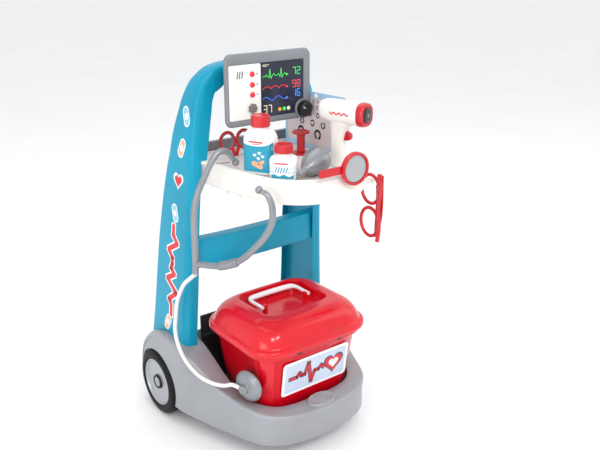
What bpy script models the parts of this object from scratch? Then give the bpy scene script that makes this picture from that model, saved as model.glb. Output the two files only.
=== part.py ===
"""Toy crash cart: a two-wheeled medical trolley with tray, monitor, case and instruments. Metres, +Z up."""

import math

import bmesh
import bpy
from mathutils import Matrix, Vector

GAP = 0.0003
CENTRE_X = 0.0
CENTRE_Y = -0.1163
SEAM_GAP = 0.0004
ROUND = 24

TYRE_RADIUS = 0.058
TYRE_WIDTH = 0.034
TYRE_INNER = 0.0425
WHEEL_OUTER_X = 0.165
AXLE_RADIUS = 0.004
WELL_RADIUS = 0.0625
WELL_INNER_X = 0.1275

BASE_BOTTOM = 0.033
BASE_FLOOR = 0.044
RAIL_BOTTOM = 0.131
RAIL_WALL = 0.0025

TRAY_BOTTOM = 0.432
TRAY_UNDER = 0.446
TRAY_TOP = 0.467
TRAY_FLOOR = 0.462

CASE_BOTTOM = BASE_FLOOR + GAP
CASE_SEAT = 0.186
LID_SEAT = CASE_SEAT + GAP
LID_TOP = 0.231
LID_RECESS = 0.2165
LID_HINGE = (0.0, -0.0700, 0.1885)
BAIL_PIVOT = (0.0, -0.1585, 0.2272)
BAIL_HALF = 0.047
BAIL_REACH = 0.040

MONITOR_FRONT = -0.124
MONITOR_BACK = -0.0935
MONITOR_HALF = 0.0795
MONITOR_LOW = 0.517
MONITOR_HIGH = 0.6265

SYRINGE_AT = (0.051, -0.135)
SCISSORS_AT = (-0.036, -0.078)
SCISSORS_PIVOT_Z = 0.452
GUN_AT = Vector((0.053, -0.236, 0.545))
GUN_TURN = math.radians(14.0)
STETHO_LEFT = Vector((-0.1585, -0.150, 0.0))
STETHO_RIGHT = Vector((-0.0985, -0.2650, 0.0))
TUBE_RADIUS = 0.0032
CHEST_AT = Vector((-0.1085, -0.2050, 0.1265))
SMALL_TURN = math.radians(-52.0)
SMALL_AT = (-0.0560, -0.2330)
LARGE_TURN = math.radians(-64.0)
LARGE_AT = (-0.0640, -0.1880)
GLASSES_AT = Vector((0.1190, -0.2280, 0.3850))
CHART_X = 0.0820
MIRROR_AT = Vector((0.0221, -0.2975, 0.4774))
OTO_TAIL = Vector((0.0100, -0.2390, 0.4850))
OTO_NOSE = Vector((-0.0500, -0.2620, 0.4735))
TUBE_STEPS = 4
TUBE_IN = Vector((-0.2532, 0.9674, 0.0))
CHEST_AXIS = Vector((-0.955, -0.250, -0.010)).normalized()

# front centre to rear centre, right half: plan of the outer wall and of the well that holds the case
BASE_OUTER = [
    (0.0, -0.273), (0.030, -0.271), (0.058, -0.266), (0.084, -0.2555), (0.1045, -0.2375),
    (0.1175, -0.211), (0.1275, -0.180), (0.138, -0.150), (0.1466, -0.1195), (0.1565, -0.082),
    (0.160, -0.045), (0.160, 0.000), (0.160, 0.040), (0.156, 0.062), (0.146, 0.068),
    (0.100, 0.069), (0.040, 0.069),
]
BASE_INNER = [
    (0.0, -0.2405), (0.026, -0.2400), (0.048, -0.2380), (0.069, -0.2320), (0.0845, -0.2200),
    (0.0945, -0.203), (0.1010, -0.180), (0.1052, -0.152), (0.1080, -0.122), (0.109, -0.088),
    (0.109, -0.060), (0.108, -0.047), (0.104, -0.041), (0.097, -0.039), (0.080, -0.0385),
    (0.050, -0.0385), (0.020, -0.0385),
]
# height of the outer edge of the rim against distance from front to back
RIM_HEIGHT = [
    (-0.273, 0.0845), (-0.250, 0.0885), (-0.220, 0.0930), (-0.193, 0.0975), (-0.163, 0.1080),
    (-0.135, 0.1240), (-0.105, 0.1420), (-0.070, 0.1570), (-0.036, 0.160), (0.004, 0.156),
    (0.040, 0.126), (0.057, 0.094), (0.069, 0.062),
]
# z, x of the outer face, y of the front corner, y of the back corner, width of the front web
RAIL_STATIONS = [
    (0.131, 0.1482, -0.0768, 0.0370, 0.0245), (0.201, 0.1441, -0.0797, 0.0265, 0.0240),
    (0.259, 0.1406, -0.0825, 0.0195, 0.0235), (0.323, 0.1368, -0.0862, 0.0110, 0.0215),
    (0.388, 0.1329, -0.0920, -0.0015, 0.0190), (0.440, 0.1297, -0.0960, -0.0145, 0.0185),
    (0.4690, 0.1274, -0.0957, -0.0235, 0.0185), (0.4705, 0.1272, -0.0957, -0.0240, 0.0275),
    (0.505, 0.1228, -0.0935, -0.0305, 0.0300), (0.546, 0.1150, -0.0920, -0.0415, 0.0295),
    (0.5646, 0.1102, -0.0905, -0.0465, 0.0290), (0.5828, 0.1025, -0.0890, -0.0520, 0.0300),
    (0.5935, 0.0935, -0.0890, -0.0555, 0.0320), (0.6018, 0.0825, -0.0890, -0.0570, 0.0330),
]
HANDLE_STATIONS = [
    (0.6062, 0.0720, -0.0890, -0.0575, 0.0320), (0.6097, 0.0550, -0.0890, -0.0580, 0.0250),
    (0.6118, 0.0300, -0.0890, -0.0585, 0.0235), (0.6125, 0.0, -0.0890, -0.0585, 0.0235),
]
TRAY_PLAN = [
    (0.0, -0.290), (0.022, -0.2885), (0.042, -0.2825), (0.060, -0.272), (0.075, -0.2565),
    (0.086, -0.236), (0.092, -0.212), (0.0965, -0.185), (0.1015, -0.155), (0.1055, -0.125),
    (0.1062, -0.1035), (0.1076, -0.0985), (0.1078, -0.0922), (0.1225, -0.0905), (0.1235, -0.070),
    (0.1235, -0.050), (0.115, -0.044), (0.060, -0.043),
]


def clear_scene():
    for old in list(bpy.data.objects):
        bpy.data.objects.remove(old, do_unlink=True)


def material(name, colour, roughness, metallic=0.0):
    mat = bpy.data.materials.new(name)
    mat.use_nodes = True
    shader = mat.node_tree.nodes["Principled BSDF"]
    shader.inputs["Base Color"].default_value = (*colour, 1.0)
    shader.inputs["Roughness"].default_value = roughness
    shader.inputs["Metallic"].default_value = metallic
    mat.diffuse_color = (*colour, 1.0)
    return mat


def add(name, bm, mat, parent, smooth=True):
    """Turn a finished bmesh into a named object under its body's empty."""
    bmesh.ops.recalc_face_normals(bm, faces=bm.faces)
    mesh = bpy.data.meshes.new(name)
    bm.to_mesh(mesh)
    bm.free()
    obj = bpy.data.objects.new(name, mesh)
    obj.data.materials.append(mat)
    bpy.context.scene.collection.objects.link(obj)
    obj.parent = parent
    obj.matrix_parent_inverse = parent.matrix_world.inverted()
    if smooth:
        mesh.shade_smooth()
        mesh.set_sharp_from_angle(angle=math.radians(35.0))
    return obj


def empty(name, place, parent=None):
    """Empty at a design-frame point: it stands on the joint axis of what hangs under it."""
    obj = bpy.data.objects.new(name, None)
    bpy.context.scene.collection.objects.link(obj)
    if parent is not None:
        obj.parent = parent
        obj.matrix_parent_inverse = parent.matrix_world.inverted()
    obj.location = place
    bpy.context.view_layer.update()
    return obj


def loops_solid(loops, cap_first=True, cap_last=True):
    """Skin a stack of closed loops with equal counts and cap both ends."""
    bm = bmesh.new()
    rows = [[bm.verts.new(p) for p in loop] for loop in loops]
    count = len(rows[0])
    for low, high in zip(rows[:-1], rows[1:]):
        for i in range(count):
            k = (i + 1) % count
            bm.faces.new((low[i], low[k], high[k], high[i]))
    if cap_first:
        bm.faces.new(rows[0][::-1])
    if cap_last:
        bm.faces.new(rows[-1])
    return bm


def ring_solid(loops):
    """Skin a stack of loops whose last joins its first, as a ring does."""
    bm = bmesh.new()
    rows = [[bm.verts.new(p) for p in loop] for loop in loops]
    count = len(rows[0])
    for a in range(len(rows)):
        low = rows[a]
        high = rows[(a + 1) % len(rows)]
        for i in range(count):
            k = (i + 1) % count
            bm.faces.new((low[i], low[k], high[k], high[i]))
    return bm


def turned(profile, axis_point, axis, steps=ROUND, closed=False):
    """Revolve (radius, distance) pairs about an axis; closed profiles make rings."""
    axis = Vector(axis).normalized()
    side = axis.orthogonal().normalized()
    other = axis.cross(side)
    base = Vector(axis_point)
    loops = []
    for radius, along in profile:
        loop = []
        for i in range(steps):
            t = 2.0 * math.pi * i / steps
            loop.append(base + axis * along + radius * (side * math.cos(t) + other * math.sin(t)))
        loops.append(loop)
    if closed:
        return ring_solid(loops)
    return loops_solid(loops)


def box(low, high, bevel=0.0, segments=2):
    bm = bmesh.new()
    bmesh.ops.create_cube(bm, size=1.0)
    size = [h - l for l, h in zip(low, high)]
    mid = [(h + l) / 2.0 for l, h in zip(low, high)]
    bmesh.ops.scale(bm, vec=size, verts=bm.verts)
    bmesh.ops.translate(bm, vec=mid, verts=bm.verts)
    if bevel > 0.0:
        bmesh.ops.bevel(bm, geom=bm.edges[:], offset=bevel, segments=segments, profile=0.5,
                        affect="EDGES", clamp_overlap=True)
    return bm


def rounded_rect(half_x, low_y, high_y, radius, steps=4, bow=0.0):
    """Plan of a rounded rectangle; bow pushes the front and back edges out at the middle."""
    points = []
    corners = [
        (half_x - radius, low_y + radius, -90.0), (half_x - radius, high_y - radius, 0.0),
        (-half_x + radius, high_y - radius, 90.0), (-half_x + radius, low_y + radius, 180.0),
    ]
    for cx, cy, start in corners:
        for i in range(steps + 1):
            t = math.radians(start + 90.0 * i / steps)
            points.append((cx + radius * math.cos(t), cy + radius * math.sin(t)))
    middle = (low_y + high_y) / 2.0
    out = []
    for x, y in points:
        share = max(0.0, 1.0 - (x / half_x) ** 2)
        out.append((x, y + bow * share * (1.0 if y > middle else -1.0)))
    return out


def at_height(plan, z):
    return [(x, y, z) for x, y in plan]


def mirrored(half):
    """Whole plan, anticlockwise, from a right half running front to rear."""
    left = [(-x, y) for x, y in half if x > 0.0]
    return half + left[::-1]


def height_at(table, y):
    for (y0, z0), (y1, z1) in zip(table[:-1], table[1:]):
        if y <= y1:
            share = max(0.0, (y - y0) / (y1 - y0))
            return z0 + (z1 - z0) * share
    return table[-1][1]


def cut(target, cutter_bm, name):
    """Boolean-subtract a helper solid and leave the result as plain mesh."""
    mesh = bpy.data.meshes.new(name)
    bmesh.ops.recalc_face_normals(cutter_bm, faces=cutter_bm.faces)
    cutter_bm.to_mesh(mesh)
    cutter_bm.free()
    cutter = bpy.data.objects.new(name, mesh)
    bpy.context.scene.collection.objects.link(cutter)
    combine(target, cutter, "DIFFERENCE")


def combine(target, helper, operation):
    mod = target.modifiers.new(operation, "BOOLEAN")
    mod.object = helper
    mod.solver = "EXACT"
    mod.operation = operation
    bpy.context.view_layer.update()
    graph = bpy.context.evaluated_depsgraph_get()
    done = bpy.data.meshes.new_from_object(target.evaluated_get(graph))
    target.modifiers.clear()
    target.data = done
    bpy.data.objects.remove(helper, do_unlink=True)


def join(target, extra_bm, name):
    mesh = bpy.data.meshes.new(name)
    bmesh.ops.recalc_face_normals(extra_bm, faces=extra_bm.faces)
    extra_bm.to_mesh(mesh)
    extra_bm.free()
    extra = bpy.data.objects.new(name, mesh)
    bpy.context.scene.collection.objects.link(extra)
    combine(target, extra, "UNION")


def bezier_path(points, steps):
    """Smooth curve through the points, evenly sampled in parameter."""
    pts = [Vector(p) for p in points]
    out = []
    for i in range(len(pts) - 1):
        p0 = pts[max(i - 1, 0)]
        p1 = pts[i]
        p2 = pts[i + 1]
        p3 = pts[min(i + 2, len(pts) - 1)]
        for k in range(steps):
            t = k / steps
            out.append(0.5 * (2 * p1 + (p2 - p0) * t + (2 * p0 - 5 * p1 + 4 * p2 - p3) * t * t
                              + (3 * p1 - p0 - 3 * p2 + p3) * t ** 3))
    out.append(pts[-1])
    return out


def swept(path, radii, sides=8, flat=1.0):
    """Round bar along a path with a radius at every point; rings carried without twist."""
    path = [Vector(p) for p in path]
    loops = []
    side = None
    for i, point in enumerate(path):
        ahead = path[min(i + 1, len(path) - 1)] - path[max(i - 1, 0)]
        ahead.normalize()
        if side is None:
            side = ahead.orthogonal().normalized()
        side = (side - ahead * side.dot(ahead)).normalized()
        other = ahead.cross(side)
        radius = radii[i] if isinstance(radii, (list, tuple)) else radii
        loop = []
        for k in range(sides):
            t = 2.0 * math.pi * k / sides
            loop.append(point + radius * (side * math.cos(t) + other * flat * math.sin(t)))
        loops.append(loop)
    return loops_solid(loops)


# ---------------------------------------------------------------- rolling base
def base_shell(mats, root):
    """One moulding: outer wall, rolled rim, well for the case, mudguards over the wheels."""
    outer = mirrored(BASE_OUTER)
    inner = mirrored(BASE_INNER)
    inset = 0.982
    foot = [(x * 0.985, -0.100 + (y + 0.100) * 0.985, BASE_BOTTOM) for x, y in outer]
    skirt = [(x, y, BASE_BOTTOM + 0.004) for x, y in outer]
    rim = [(x, y, height_at(RIM_HEIGHT, y) - 0.005) for x, y in outer]
    roll = [(x * inset, -0.1 + (y + 0.1) * inset, height_at(RIM_HEIGHT, y)) for x, y in outer]
    lip = [(x, y, well_height(y)) for x, y in inner]
    floor = [(x * 0.985, -0.14 + (y + 0.14) * 0.985, BASE_FLOOR) for x, y in inner]
    bm = loops_solid([foot, skirt, rim, roll, lip, floor])
    bmesh.ops.triangulate(bm, faces=bm.faces[:])
    shell = add("base_shell", bm, mats["grey"], root, smooth=False)
    for sign in (-1.0, 1.0):
        well = turned([(WELL_RADIUS, 0.0), (WELL_RADIUS, 0.06)],
                      (sign * WELL_INNER_X, 0.0, TYRE_RADIUS), (sign, 0.0, 0.0), 36)
        cut(shell, well, "wheel_well")
        cut(shell, rail_solid(RAIL_STATIONS[:2], sign, GAP, True), "rail_socket")
    axle_bore = turned([(AXLE_RADIUS + GAP, -0.14), (AXLE_RADIUS + GAP, 0.14)],
                       (0.0, 0.0, TYRE_RADIUS), (1.0, 0.0, 0.0), 12)
    cut(shell, axle_bore, "axle_bore")
    join(shell, plaque(), "plaque")
    return shell


def well_height(y):
    """Edge of the well: level with the rim in front, a little under it along the sides."""
    return height_at(RIM_HEIGHT, min(y, 0.0)) - (0.002 if y < -0.20 else 0.006)


def plaque():
    """Plain oval boss moulded on the front rim."""
    loops = []
    for scale, z in ((1.0, -0.0060), (1.0, 0.0030), (0.86, 0.0042)):
        loop = []
        for i in range(28):
            t = 2.0 * math.pi * i / 28
            x = 0.027 * scale * math.cos(t)
            y = 0.0160 * scale * math.sin(t)
            loop.append((x, -0.2545 + y, 0.0850 + z + 0.06 * (y + 0.012)))
        loops.append(loop)
    return loops_solid(loops)


def rear_panel(mats, root):
    profile = [
        (-0.0440, 0.0500), (-0.0440, 0.1430), (-0.0520, 0.1430), (-0.0520, 0.1470),
        (-0.0440, 0.1490), (-0.0430, 0.1810), (-0.0408, 0.1810), (-0.0408, 0.1490), (-0.0408, 0.0500),
    ]
    loops = [[(x, y, z) for y, z in profile] for x in (-0.094, 0.094)]
    return add("rear_panel", loops_solid(loops), mats["charcoal"], root, smooth=False)


def foot(side, mats, root):
    sign = -1.0 if side == "left" else 1.0
    bm = turned([(0.013, 0.0), (0.0145, 0.003), (0.0145, BASE_BOTTOM - GAP)],
                (sign * 0.045, -0.166, 0.0), (0.0, 0.0, 1.0), 20)
    return add(f"foot_{side}", bm, mats["black_soft"], root)


def axle(mats, root):
    reach = WHEEL_OUTER_X - 0.008
    bm = turned([(AXLE_RADIUS, -reach), (AXLE_RADIUS, reach)], (0.0, 0.0, TYRE_RADIUS),
                (1.0, 0.0, 0.0), 12)
    return add("wheel_axle", bm, mats["steel"], root)


def wheel(side, mats, hub):
    """Soft tyre ring, dished disc and hub cap of one wheel."""
    sign = -1.0 if side == "left" else 1.0
    centre = (sign * (WHEEL_OUTER_X - TYRE_WIDTH), 0.0, TYRE_RADIUS)
    out = (sign, 0.0, 0.0)
    width = TYRE_WIDTH
    tyre = turned([
        (TYRE_INNER, 0.001), (0.052, 0.001), (0.0565, 0.004), (TYRE_RADIUS, 0.009),
        (TYRE_RADIUS, width - 0.010), (0.0565, width - 0.005), (0.052, width - 0.0015),
        (0.0455, width), (TYRE_INNER, width - 0.002),
    ], centre, out, 32, closed=True)
    add(f"{side}_tyre", tyre, mats["rubber"], hub)
    rim = TYRE_INNER - GAP
    disc = turned([
        (AXLE_RADIUS + GAP, 0.004), (0.010, 0.004), (0.012, 0.014), (0.036, 0.016),
        (rim, 0.003), (rim, width - 0.003), (0.040, width - 0.0015), (0.037, width - 0.0045),
        (0.012, width - 0.0055), (0.0105, width - 0.0075), (AXLE_RADIUS + GAP, width - 0.0075),
    ], centre, out, 32, closed=True)
    add(f"{side}_wheel_disc", disc, mats["silver"], hub)
    cap = turned([(0.0095, width - 0.0072), (0.0095, width - 0.0025), (0.0082, width - 0.0012),
                  (0.0060, width - 0.0030)], centre, out, 20)
    add(f"{side}_hub_cap", cap, mats["black"], hub)


# ---------------------------------------------------------------- uprights and handle
def rail_section(station, sign, grow, inward, filled):
    """Open channel across one station: outer face, rounded front corner, two webs turned in."""
    z, x, front, back, web = station
    corner = Vector((sign * x, front, z))
    rear = Vector((0.0, 1.0, 0.0))
    depth = back - front
    wall = RAIL_WALL
    back_web = 0.016
    if filled:
        flat = [(-grow, web + grow), (-grow, 0.008), (0.004, -grow), (depth - 0.003, -grow),
                (depth + grow, 0.004), (depth + grow, web + grow)]
    else:
        flat = [(0.0, web), (0.0, 0.010), (0.0022, 0.0036), (0.0085, 0.0), (depth - 0.006, 0.0),
                (depth - 0.0012, 0.0016), (depth, 0.006), (depth, back_web), (depth - wall, back_web),
                (depth - wall, 0.0055), (depth - 0.0055, wall), (0.0092, wall), (0.0045, 0.0055),
                (wall, 0.0105), (wall, web)]
    return [corner + rear * b + inward * n for b, n in flat]


def seam_along():
    """Direction, in the right half's XZ plane, in which upright and handle meet."""
    before = RAIL_STATIONS[-2]
    after = HANDLE_STATIONS[0]
    return Vector((after[1] - before[1], 0.0, after[0] - before[0])).normalized()


def rail_solid(stations, sign, grow=0.0, filled=False):
    loops = []
    for i, station in enumerate(stations):
        before = stations[max(i - 1, 0)]
        after = stations[min(i + 1, len(stations) - 1)]
        along = Vector((sign * (after[1] - before[1]), 0.0, after[0] - before[0])).normalized()
        if station is RAIL_STATIONS[-1]:
            along = seam_along()
            along.x *= sign
        inward = Vector((-sign * along.z, 0.0, sign * along.x))
        if i == 0 and station[0] < 0.2:
            inward = Vector((-sign, 0.0, 0.0))
        loops.append(rail_section(station, sign, grow, inward, filled))
    if filled:
        loops[0] = [Vector((p.x, p.y, RAIL_BOTTOM - grow)) for p in loops[0]]
    return loops_solid(loops)


def rail(side, mats, root):
    sign = -1.0 if side == "left" else 1.0
    return add(f"rail_{side}", rail_solid(RAIL_STATIONS, sign), mats["teal"], root)


def top_handle(mats, root):
    """Arched grip that closes the two uprights; it carries the monitor."""
    z, x, front, back, web = RAIL_STATIONS[-1]
    seam = seam_along()
    end = (z + seam.z * SEAM_GAP, x + seam.x * SEAM_GAP, front, back, web)
    half = [end] + HANDLE_STATIONS
    left = [(z, -x, f, b, w) for z, x, f, b, w in half]
    stations = left + [(z, x, f, b, w) for z, x, f, b, w in half[-2::-1]]
    loops = []
    for i, station in enumerate(stations):
        before = stations[max(i - 1, 0)]
        after = stations[min(i + 1, len(stations) - 1)]
        along = Vector((after[1] - before[1], 0.0, after[0] - before[0])).normalized()
        if i == 0:
            along = Vector((-seam.x, 0.0, seam.z))
        if i == len(stations) - 1:
            along = Vector((-seam.x, 0.0, -seam.z))
        inward = Vector((along.z, 0.0, -along.x))
        loops.append(rail_section(station, 1.0, 0.0, inward, False))
    return add("top_handle", loops_solid(loops), mats["teal"], root)


def cross_brace(mats, root):
    """Bowed U strip between the uprights, open to the back, its ends inside the channels."""
    loops = []
    for i in range(13):
        share = -1.0 + 2.0 * i / 12
        x = 0.1318 * share
        y = -0.0785 - 0.007 * (1.0 - share * share)
        low = 0.2865
        high = 0.3345
        deep = 0.022
        wall = 0.0028
        flat = [(0.0, low + 0.002), (0.002, low), (deep, low), (deep, low + wall), (wall, low + wall),
                (wall, high - wall), (deep, high - wall), (deep, high), (0.002, high),
                (0.0, high - 0.002)]
        loops.append([(x, y + d, z) for d, z in flat])
    return add("cross_brace", loops_solid(loops), mats["teal"], root)


# ---------------------------------------------------------------- tray
def tray(mats, root):
    """White D-shaped tray with a deep skirt; rear ears sit inside the uprights."""
    plan = mirrored(TRAY_PLAN)

    def ring(grow, z):
        out = []
        for x, y in plan:
            toward = Vector((x * 0.9, (y + 0.14) * 0.9))
            if toward.length > 0.0:
                toward.normalize()
            free = 1.0 if y < -0.0995 else 0.0
            step = grow if (grow < 0.0) else grow * free
            out.append((x + toward.x * step, y + toward.y * step, z))
        return out

    loops = [ring(-0.0085, TRAY_UNDER), ring(-0.0035, TRAY_BOTTOM + 0.004), ring(-0.001, TRAY_BOTTOM),
             ring(0.0025, TRAY_BOTTOM + 0.003), ring(0.0012, TRAY_BOTTOM + 0.022),
             ring(-0.0035, TRAY_TOP - 0.003), ring(-0.0065, TRAY_TOP), ring(-0.0095, TRAY_TOP),
             ring(-0.0125, TRAY_FLOOR)]
    bm = loops_solid(loops)
    bmesh.ops.triangulate(bm, faces=bm.faces[:])
    obj = add("tray", bm, mats["white"], root, smooth=False)
    hole = turned([(0.0095, -0.05), (0.0095, 0.05)], (*SYRINGE_AT, TRAY_FLOOR), (0, 0, 1), 20)
    cut(obj, hole, "syringe_hole")
    x, y = SCISSORS_AT
    slot = box((x - 0.0145, y - 0.006, TRAY_UNDER - 0.02), (x + 0.0145, y + 0.006, TRAY_TOP + 0.02))
    cut(obj, slot, "scissors_slot")
    tray_hooks(obj)
    return obj


def tray_hooks(obj):
    """Rounded prongs that hang under the tray's side edges, as coat hooks do: two left, one right."""
    for sign, px, py in ((-1.0, 0.0870, -0.1420), (-1.0, 0.0830, -0.1660), (1.0, 0.0900, -0.2080)):
        top = Vector((sign * px, py, TRAY_UNDER + 0.004))
        path = [top, top + Vector((sign * 0.001, -0.001, -0.008)),
                top + Vector((sign * 0.006, -0.003, -0.0175)),
                top + Vector((sign * 0.014, -0.008, -0.0210)),
                top + Vector((sign * 0.034, -0.020, -0.0250))]
        if sign < 0.0:
            path.pop()
        join(obj, swept(path, [0.0050, 0.0046, 0.0042, 0.0036, 0.0032][:len(path)], 10), "hook")


def tray_bar(mats, root):
    """Silver-grey crosspiece just behind the tray, its ends inside the channels."""
    bm = box((-0.1205, -0.0425, 0.452), (0.1205, -0.0335, 0.4805), 0.002, 1)
    return add("tray_bar", bm, mats["silver"], root, smooth=False)


# ---------------------------------------------------------------- monitor
def monitor(mats, root):
    front = MONITOR_FRONT
    back = MONITOR_BACK
    plan = []
    for cx, cz, start in ((MONITOR_HALF - 0.011, MONITOR_LOW + 0.011, -90.0),
                          (MONITOR_HALF - 0.011, MONITOR_HIGH - 0.011, 0.0),
                          (-MONITOR_HALF + 0.011, MONITOR_HIGH - 0.011, 90.0),
                          (-MONITOR_HALF + 0.011, MONITOR_LOW + 0.011, 180.0)):
        for i in range(5):
            t = math.radians(start + 22.5 * i)
            plan.append((cx + 0.011 * math.cos(t), cz + 0.011 * math.sin(t)))

    def ring(scale_in, y):
        out = []
        mid = (MONITOR_LOW + MONITOR_HIGH) / 2.0
        half = (MONITOR_HIGH - MONITOR_LOW) / 2.0
        for x, z in plan:
            out.append((x * (1.0 - scale_in / MONITOR_HALF), y,
                        mid + (z - mid) * (1.0 - scale_in / half)))
        return out

    loops = [ring(0.0205, back), ring(0.0180, back - 0.0015), ring(0.0, front + 0.0065),
             ring(0.0, front + 0.004), ring(0.0012, front + 0.001), ring(0.0040, front)]
    body = add("monitor_housing", loops_solid(loops), mats["mid_grey"], root, smooth=False)
    panel_pocket = box((-0.0748, front - 0.01, 0.5270), (0.0652, front + 0.0042, 0.6105))
    cut(body, panel_pocket, "front_pocket")
    for z in (0.5955, 0.5795, 0.5645):
        hole = turned([(0.0046, -0.01), (0.0046, 0.006)], (-0.0338, front + 0.0042, z), (0, 1, 0), 16)
        cut(body, hole, "button_well")
    hole = turned([(0.0033, -0.01), (0.0033, 0.006)], (-0.0345, front + 0.0042, 0.5440), (0, 1, 0), 14)
    cut(body, hole, "knob_well")
    hole = turned([(0.0160, -0.02), (0.0160, 0.006)], (0.0635, front + 0.0042, 0.5325), (0, 1, 0), 28)
    cut(body, hole, "dial_well")
    return body


def monitor_front(mats, root):
    front = MONITOR_FRONT
    panel = add("monitor_panel", box((-0.0744, front - 0.0002, 0.5274), (-0.0172, front + 0.0038, 0.6101),
                                     0.0012, 2), mats["white"], root, smooth=False)
    for z in (0.5955, 0.5795, 0.5645):
        cut(panel, turned([(0.0046, -0.01), (0.0046, 0.01)], (-0.0338, front, z), (0, 1, 0), 16), "hole")
    cut(panel, turned([(0.0033, -0.01), (0.0033, 0.01)], (-0.0345, front, 0.5440), (0, 1, 0), 14), "hole")
    screen = add("monitor_screen", box((-0.0169, front + 0.0008, 0.5274), (0.0648, front + 0.0038, 0.6101)),
                 mats["screen"], root, smooth=False)
    cut(screen, turned([(0.0164, -0.01), (0.0164, 0.02)], (0.0635, front, 0.5325), (0, 1, 0), 28), "hole")
    ring = turned([(0.0107, 0.0045), (0.0156, 0.0045), (0.0156, -0.0060), (0.0150, -0.0070),
                   (0.0122, -0.0052), (0.0107, -0.0052)], (0.0635, front + 0.0045, 0.5325), (0, 1, 0), 28,
                  closed=True)
    add("dial_ring", ring, mats["silver"], root)


def buttons(mats, root):
    front = MONITOR_FRONT
    for i, z in enumerate((0.5955, 0.5795, 0.5645)):
        hub = empty(f"button_{i + 1}_axis", (-0.0338, front, z), root)
        bm = turned([(0.0042, 0.0052), (0.0042, -0.0020), (0.0034, -0.0032), (0.0014, -0.0037)],
                    (-0.0338, front, z), (0, 1, 0), 16)
        add(f"button_{i + 1}", bm, mats["red"], hub)


def mode_knob(mats, root):
    """Seven-petal turning knob."""
    hub = empty("mode_knob_axis", (-0.0345, MONITOR_FRONT, 0.5440), root)
    loops = []
    for radius, y, wave in ((0.0029, 0.0090, 0.0), (0.0029, -0.0008, 0.0), (0.0058, -0.0008, 0.14),
                            (0.0070, -0.0022, 0.14), (0.0068, -0.0052, 0.14), (0.0048, -0.0066, 0.08)):
        loop = []
        for i in range(28):
            t = 2.0 * math.pi * i / 28
            r = radius * (1.0 + wave * math.cos(7 * t))
            loop.append((-0.0345 + r * math.cos(t), MONITOR_FRONT + y, 0.5440 + r * math.sin(t)))
        loops.append(loop)
    return add("mode_knob", loops_solid(loops), mats["brown_grey"], hub)


def dial(mats, root):
    """Large fluted dial that turns inside the silver ring."""
    hub = empty("dial_axis", (0.0635, MONITOR_FRONT, 0.5325), root)
    loops = []
    for radius, y, wave in ((0.0100, 0.0088, 0.0), (0.0100, -0.0012, 0.0), (0.0118, -0.0032, 0.03),
                            (0.0118, -0.0095, 0.03), (0.0102, -0.0118, 0.02)):
        loop = []
        for i in range(40):
            t = 2.0 * math.pi * i / 40
            r = radius * (1.0 + wave * (1.0 if i % 2 else -1.0))
            loop.append((0.0635 + r * math.cos(t), MONITOR_FRONT + y, 0.5325 + r * math.sin(t)))
        loops.append(loop)
    return add("dial_knob", loops_solid(loops), mats["black"], hub)


def battery_cover(mats, root):
    bm = box((-0.034, MONITOR_BACK + 0.0003, 0.543), (0.034, MONITOR_BACK + 0.0030, 0.585), 0.0008, 1)
    return add("battery_cover", bm, mats["mid_grey"], root, smooth=False)


# ---------------------------------------------------------------- case
def case_body(mats, hub):
    def ring(half, low, high, radius, z):
        return at_height(rounded_rect(half, low, high, radius, 5, 0.003), z)

    top = CASE_SEAT
    loops = [
        ring(0.078, -0.2180, -0.0960, 0.028, CASE_BOTTOM),
        ring(0.083, -0.2235, -0.0920, 0.030, CASE_BOTTOM + 0.006),
        ring(0.099, -0.2410, -0.0800, 0.036, top - 0.0085),
        ring(0.1055, -0.2475, -0.0760, 0.040, top - 0.0065),
        ring(0.1055, -0.2475, -0.0760, 0.040, top), ring(0.0960, -0.2380, -0.0840, 0.034, top),
        ring(0.0800, -0.2205, -0.0950, 0.027, CASE_BOTTOM + 0.0045),
    ]
    return add("case_body", loops_solid(loops), mats["red"], hub)


def case_label(mats, hub):
    """Rounded white plate on the leaning front wall of the case."""
    def face(z, out):
        lean = (0.2410 - 0.2235) / (CASE_SEAT - 0.0085 - CASE_BOTTOM - 0.006)
        return -0.2235 - 0.0030 - lean * (z - CASE_BOTTOM - 0.006) - out

    plan = []
    for cx, cz, start in ((0.060, 0.110, -90.0), (0.060, 0.159, 0.0), (-0.060, 0.159, 90.0),
                          (-0.060, 0.110, 180.0)):
        for i in range(4):
            t = math.radians(start + 30.0 * i)
            plan.append((cx + 0.006 * math.cos(t), cz + 0.006 * math.sin(t)))
    loops = [[(x, face(z, d), z) for x, z in plan] for d in (GAP, GAP + 0.0008)]
    return add("case_label", loops_solid(loops), mats["label"], hub, smooth=False)


def case_lid(mats, hub):
    def ring(half, low, high, radius, z, bow=0.003):
        return at_height(rounded_rect(half, low, high, radius, 5, bow), z)

    seat = LID_SEAT
    loops = [
        ring(0.0950, -0.2370, -0.0850, 0.033, seat + 0.012), ring(0.1040, -0.2460, -0.0775, 0.039, seat),
        ring(0.1105, -0.2520, -0.0715, 0.043, seat), ring(0.1130, -0.2545, -0.0700, 0.045, seat + 0.004),
        ring(0.1120, -0.2535, -0.0705, 0.044, seat + 0.010),
        ring(0.1060, -0.2475, -0.0760, 0.040, seat + 0.013),
        ring(0.1030, -0.2440, -0.0790, 0.038, seat + 0.021),
        ring(0.0930, -0.2340, -0.0870, 0.036, seat + 0.036),
        ring(0.0820, -0.2230, -0.0970, 0.032, LID_TOP - 0.0015),
        ring(0.0760, -0.2170, -0.1010, 0.030, LID_TOP),
        ring(0.0620, -0.2000, -0.1030, 0.018, LID_TOP, 0.0),
        ring(0.0590, -0.1960, -0.1050, 0.016, LID_RECESS, 0.0),
    ]
    lid = add("case_lid", loops_solid(loops), mats["red"], hub)
    bail_pivots(lid)
    return lid


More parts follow.
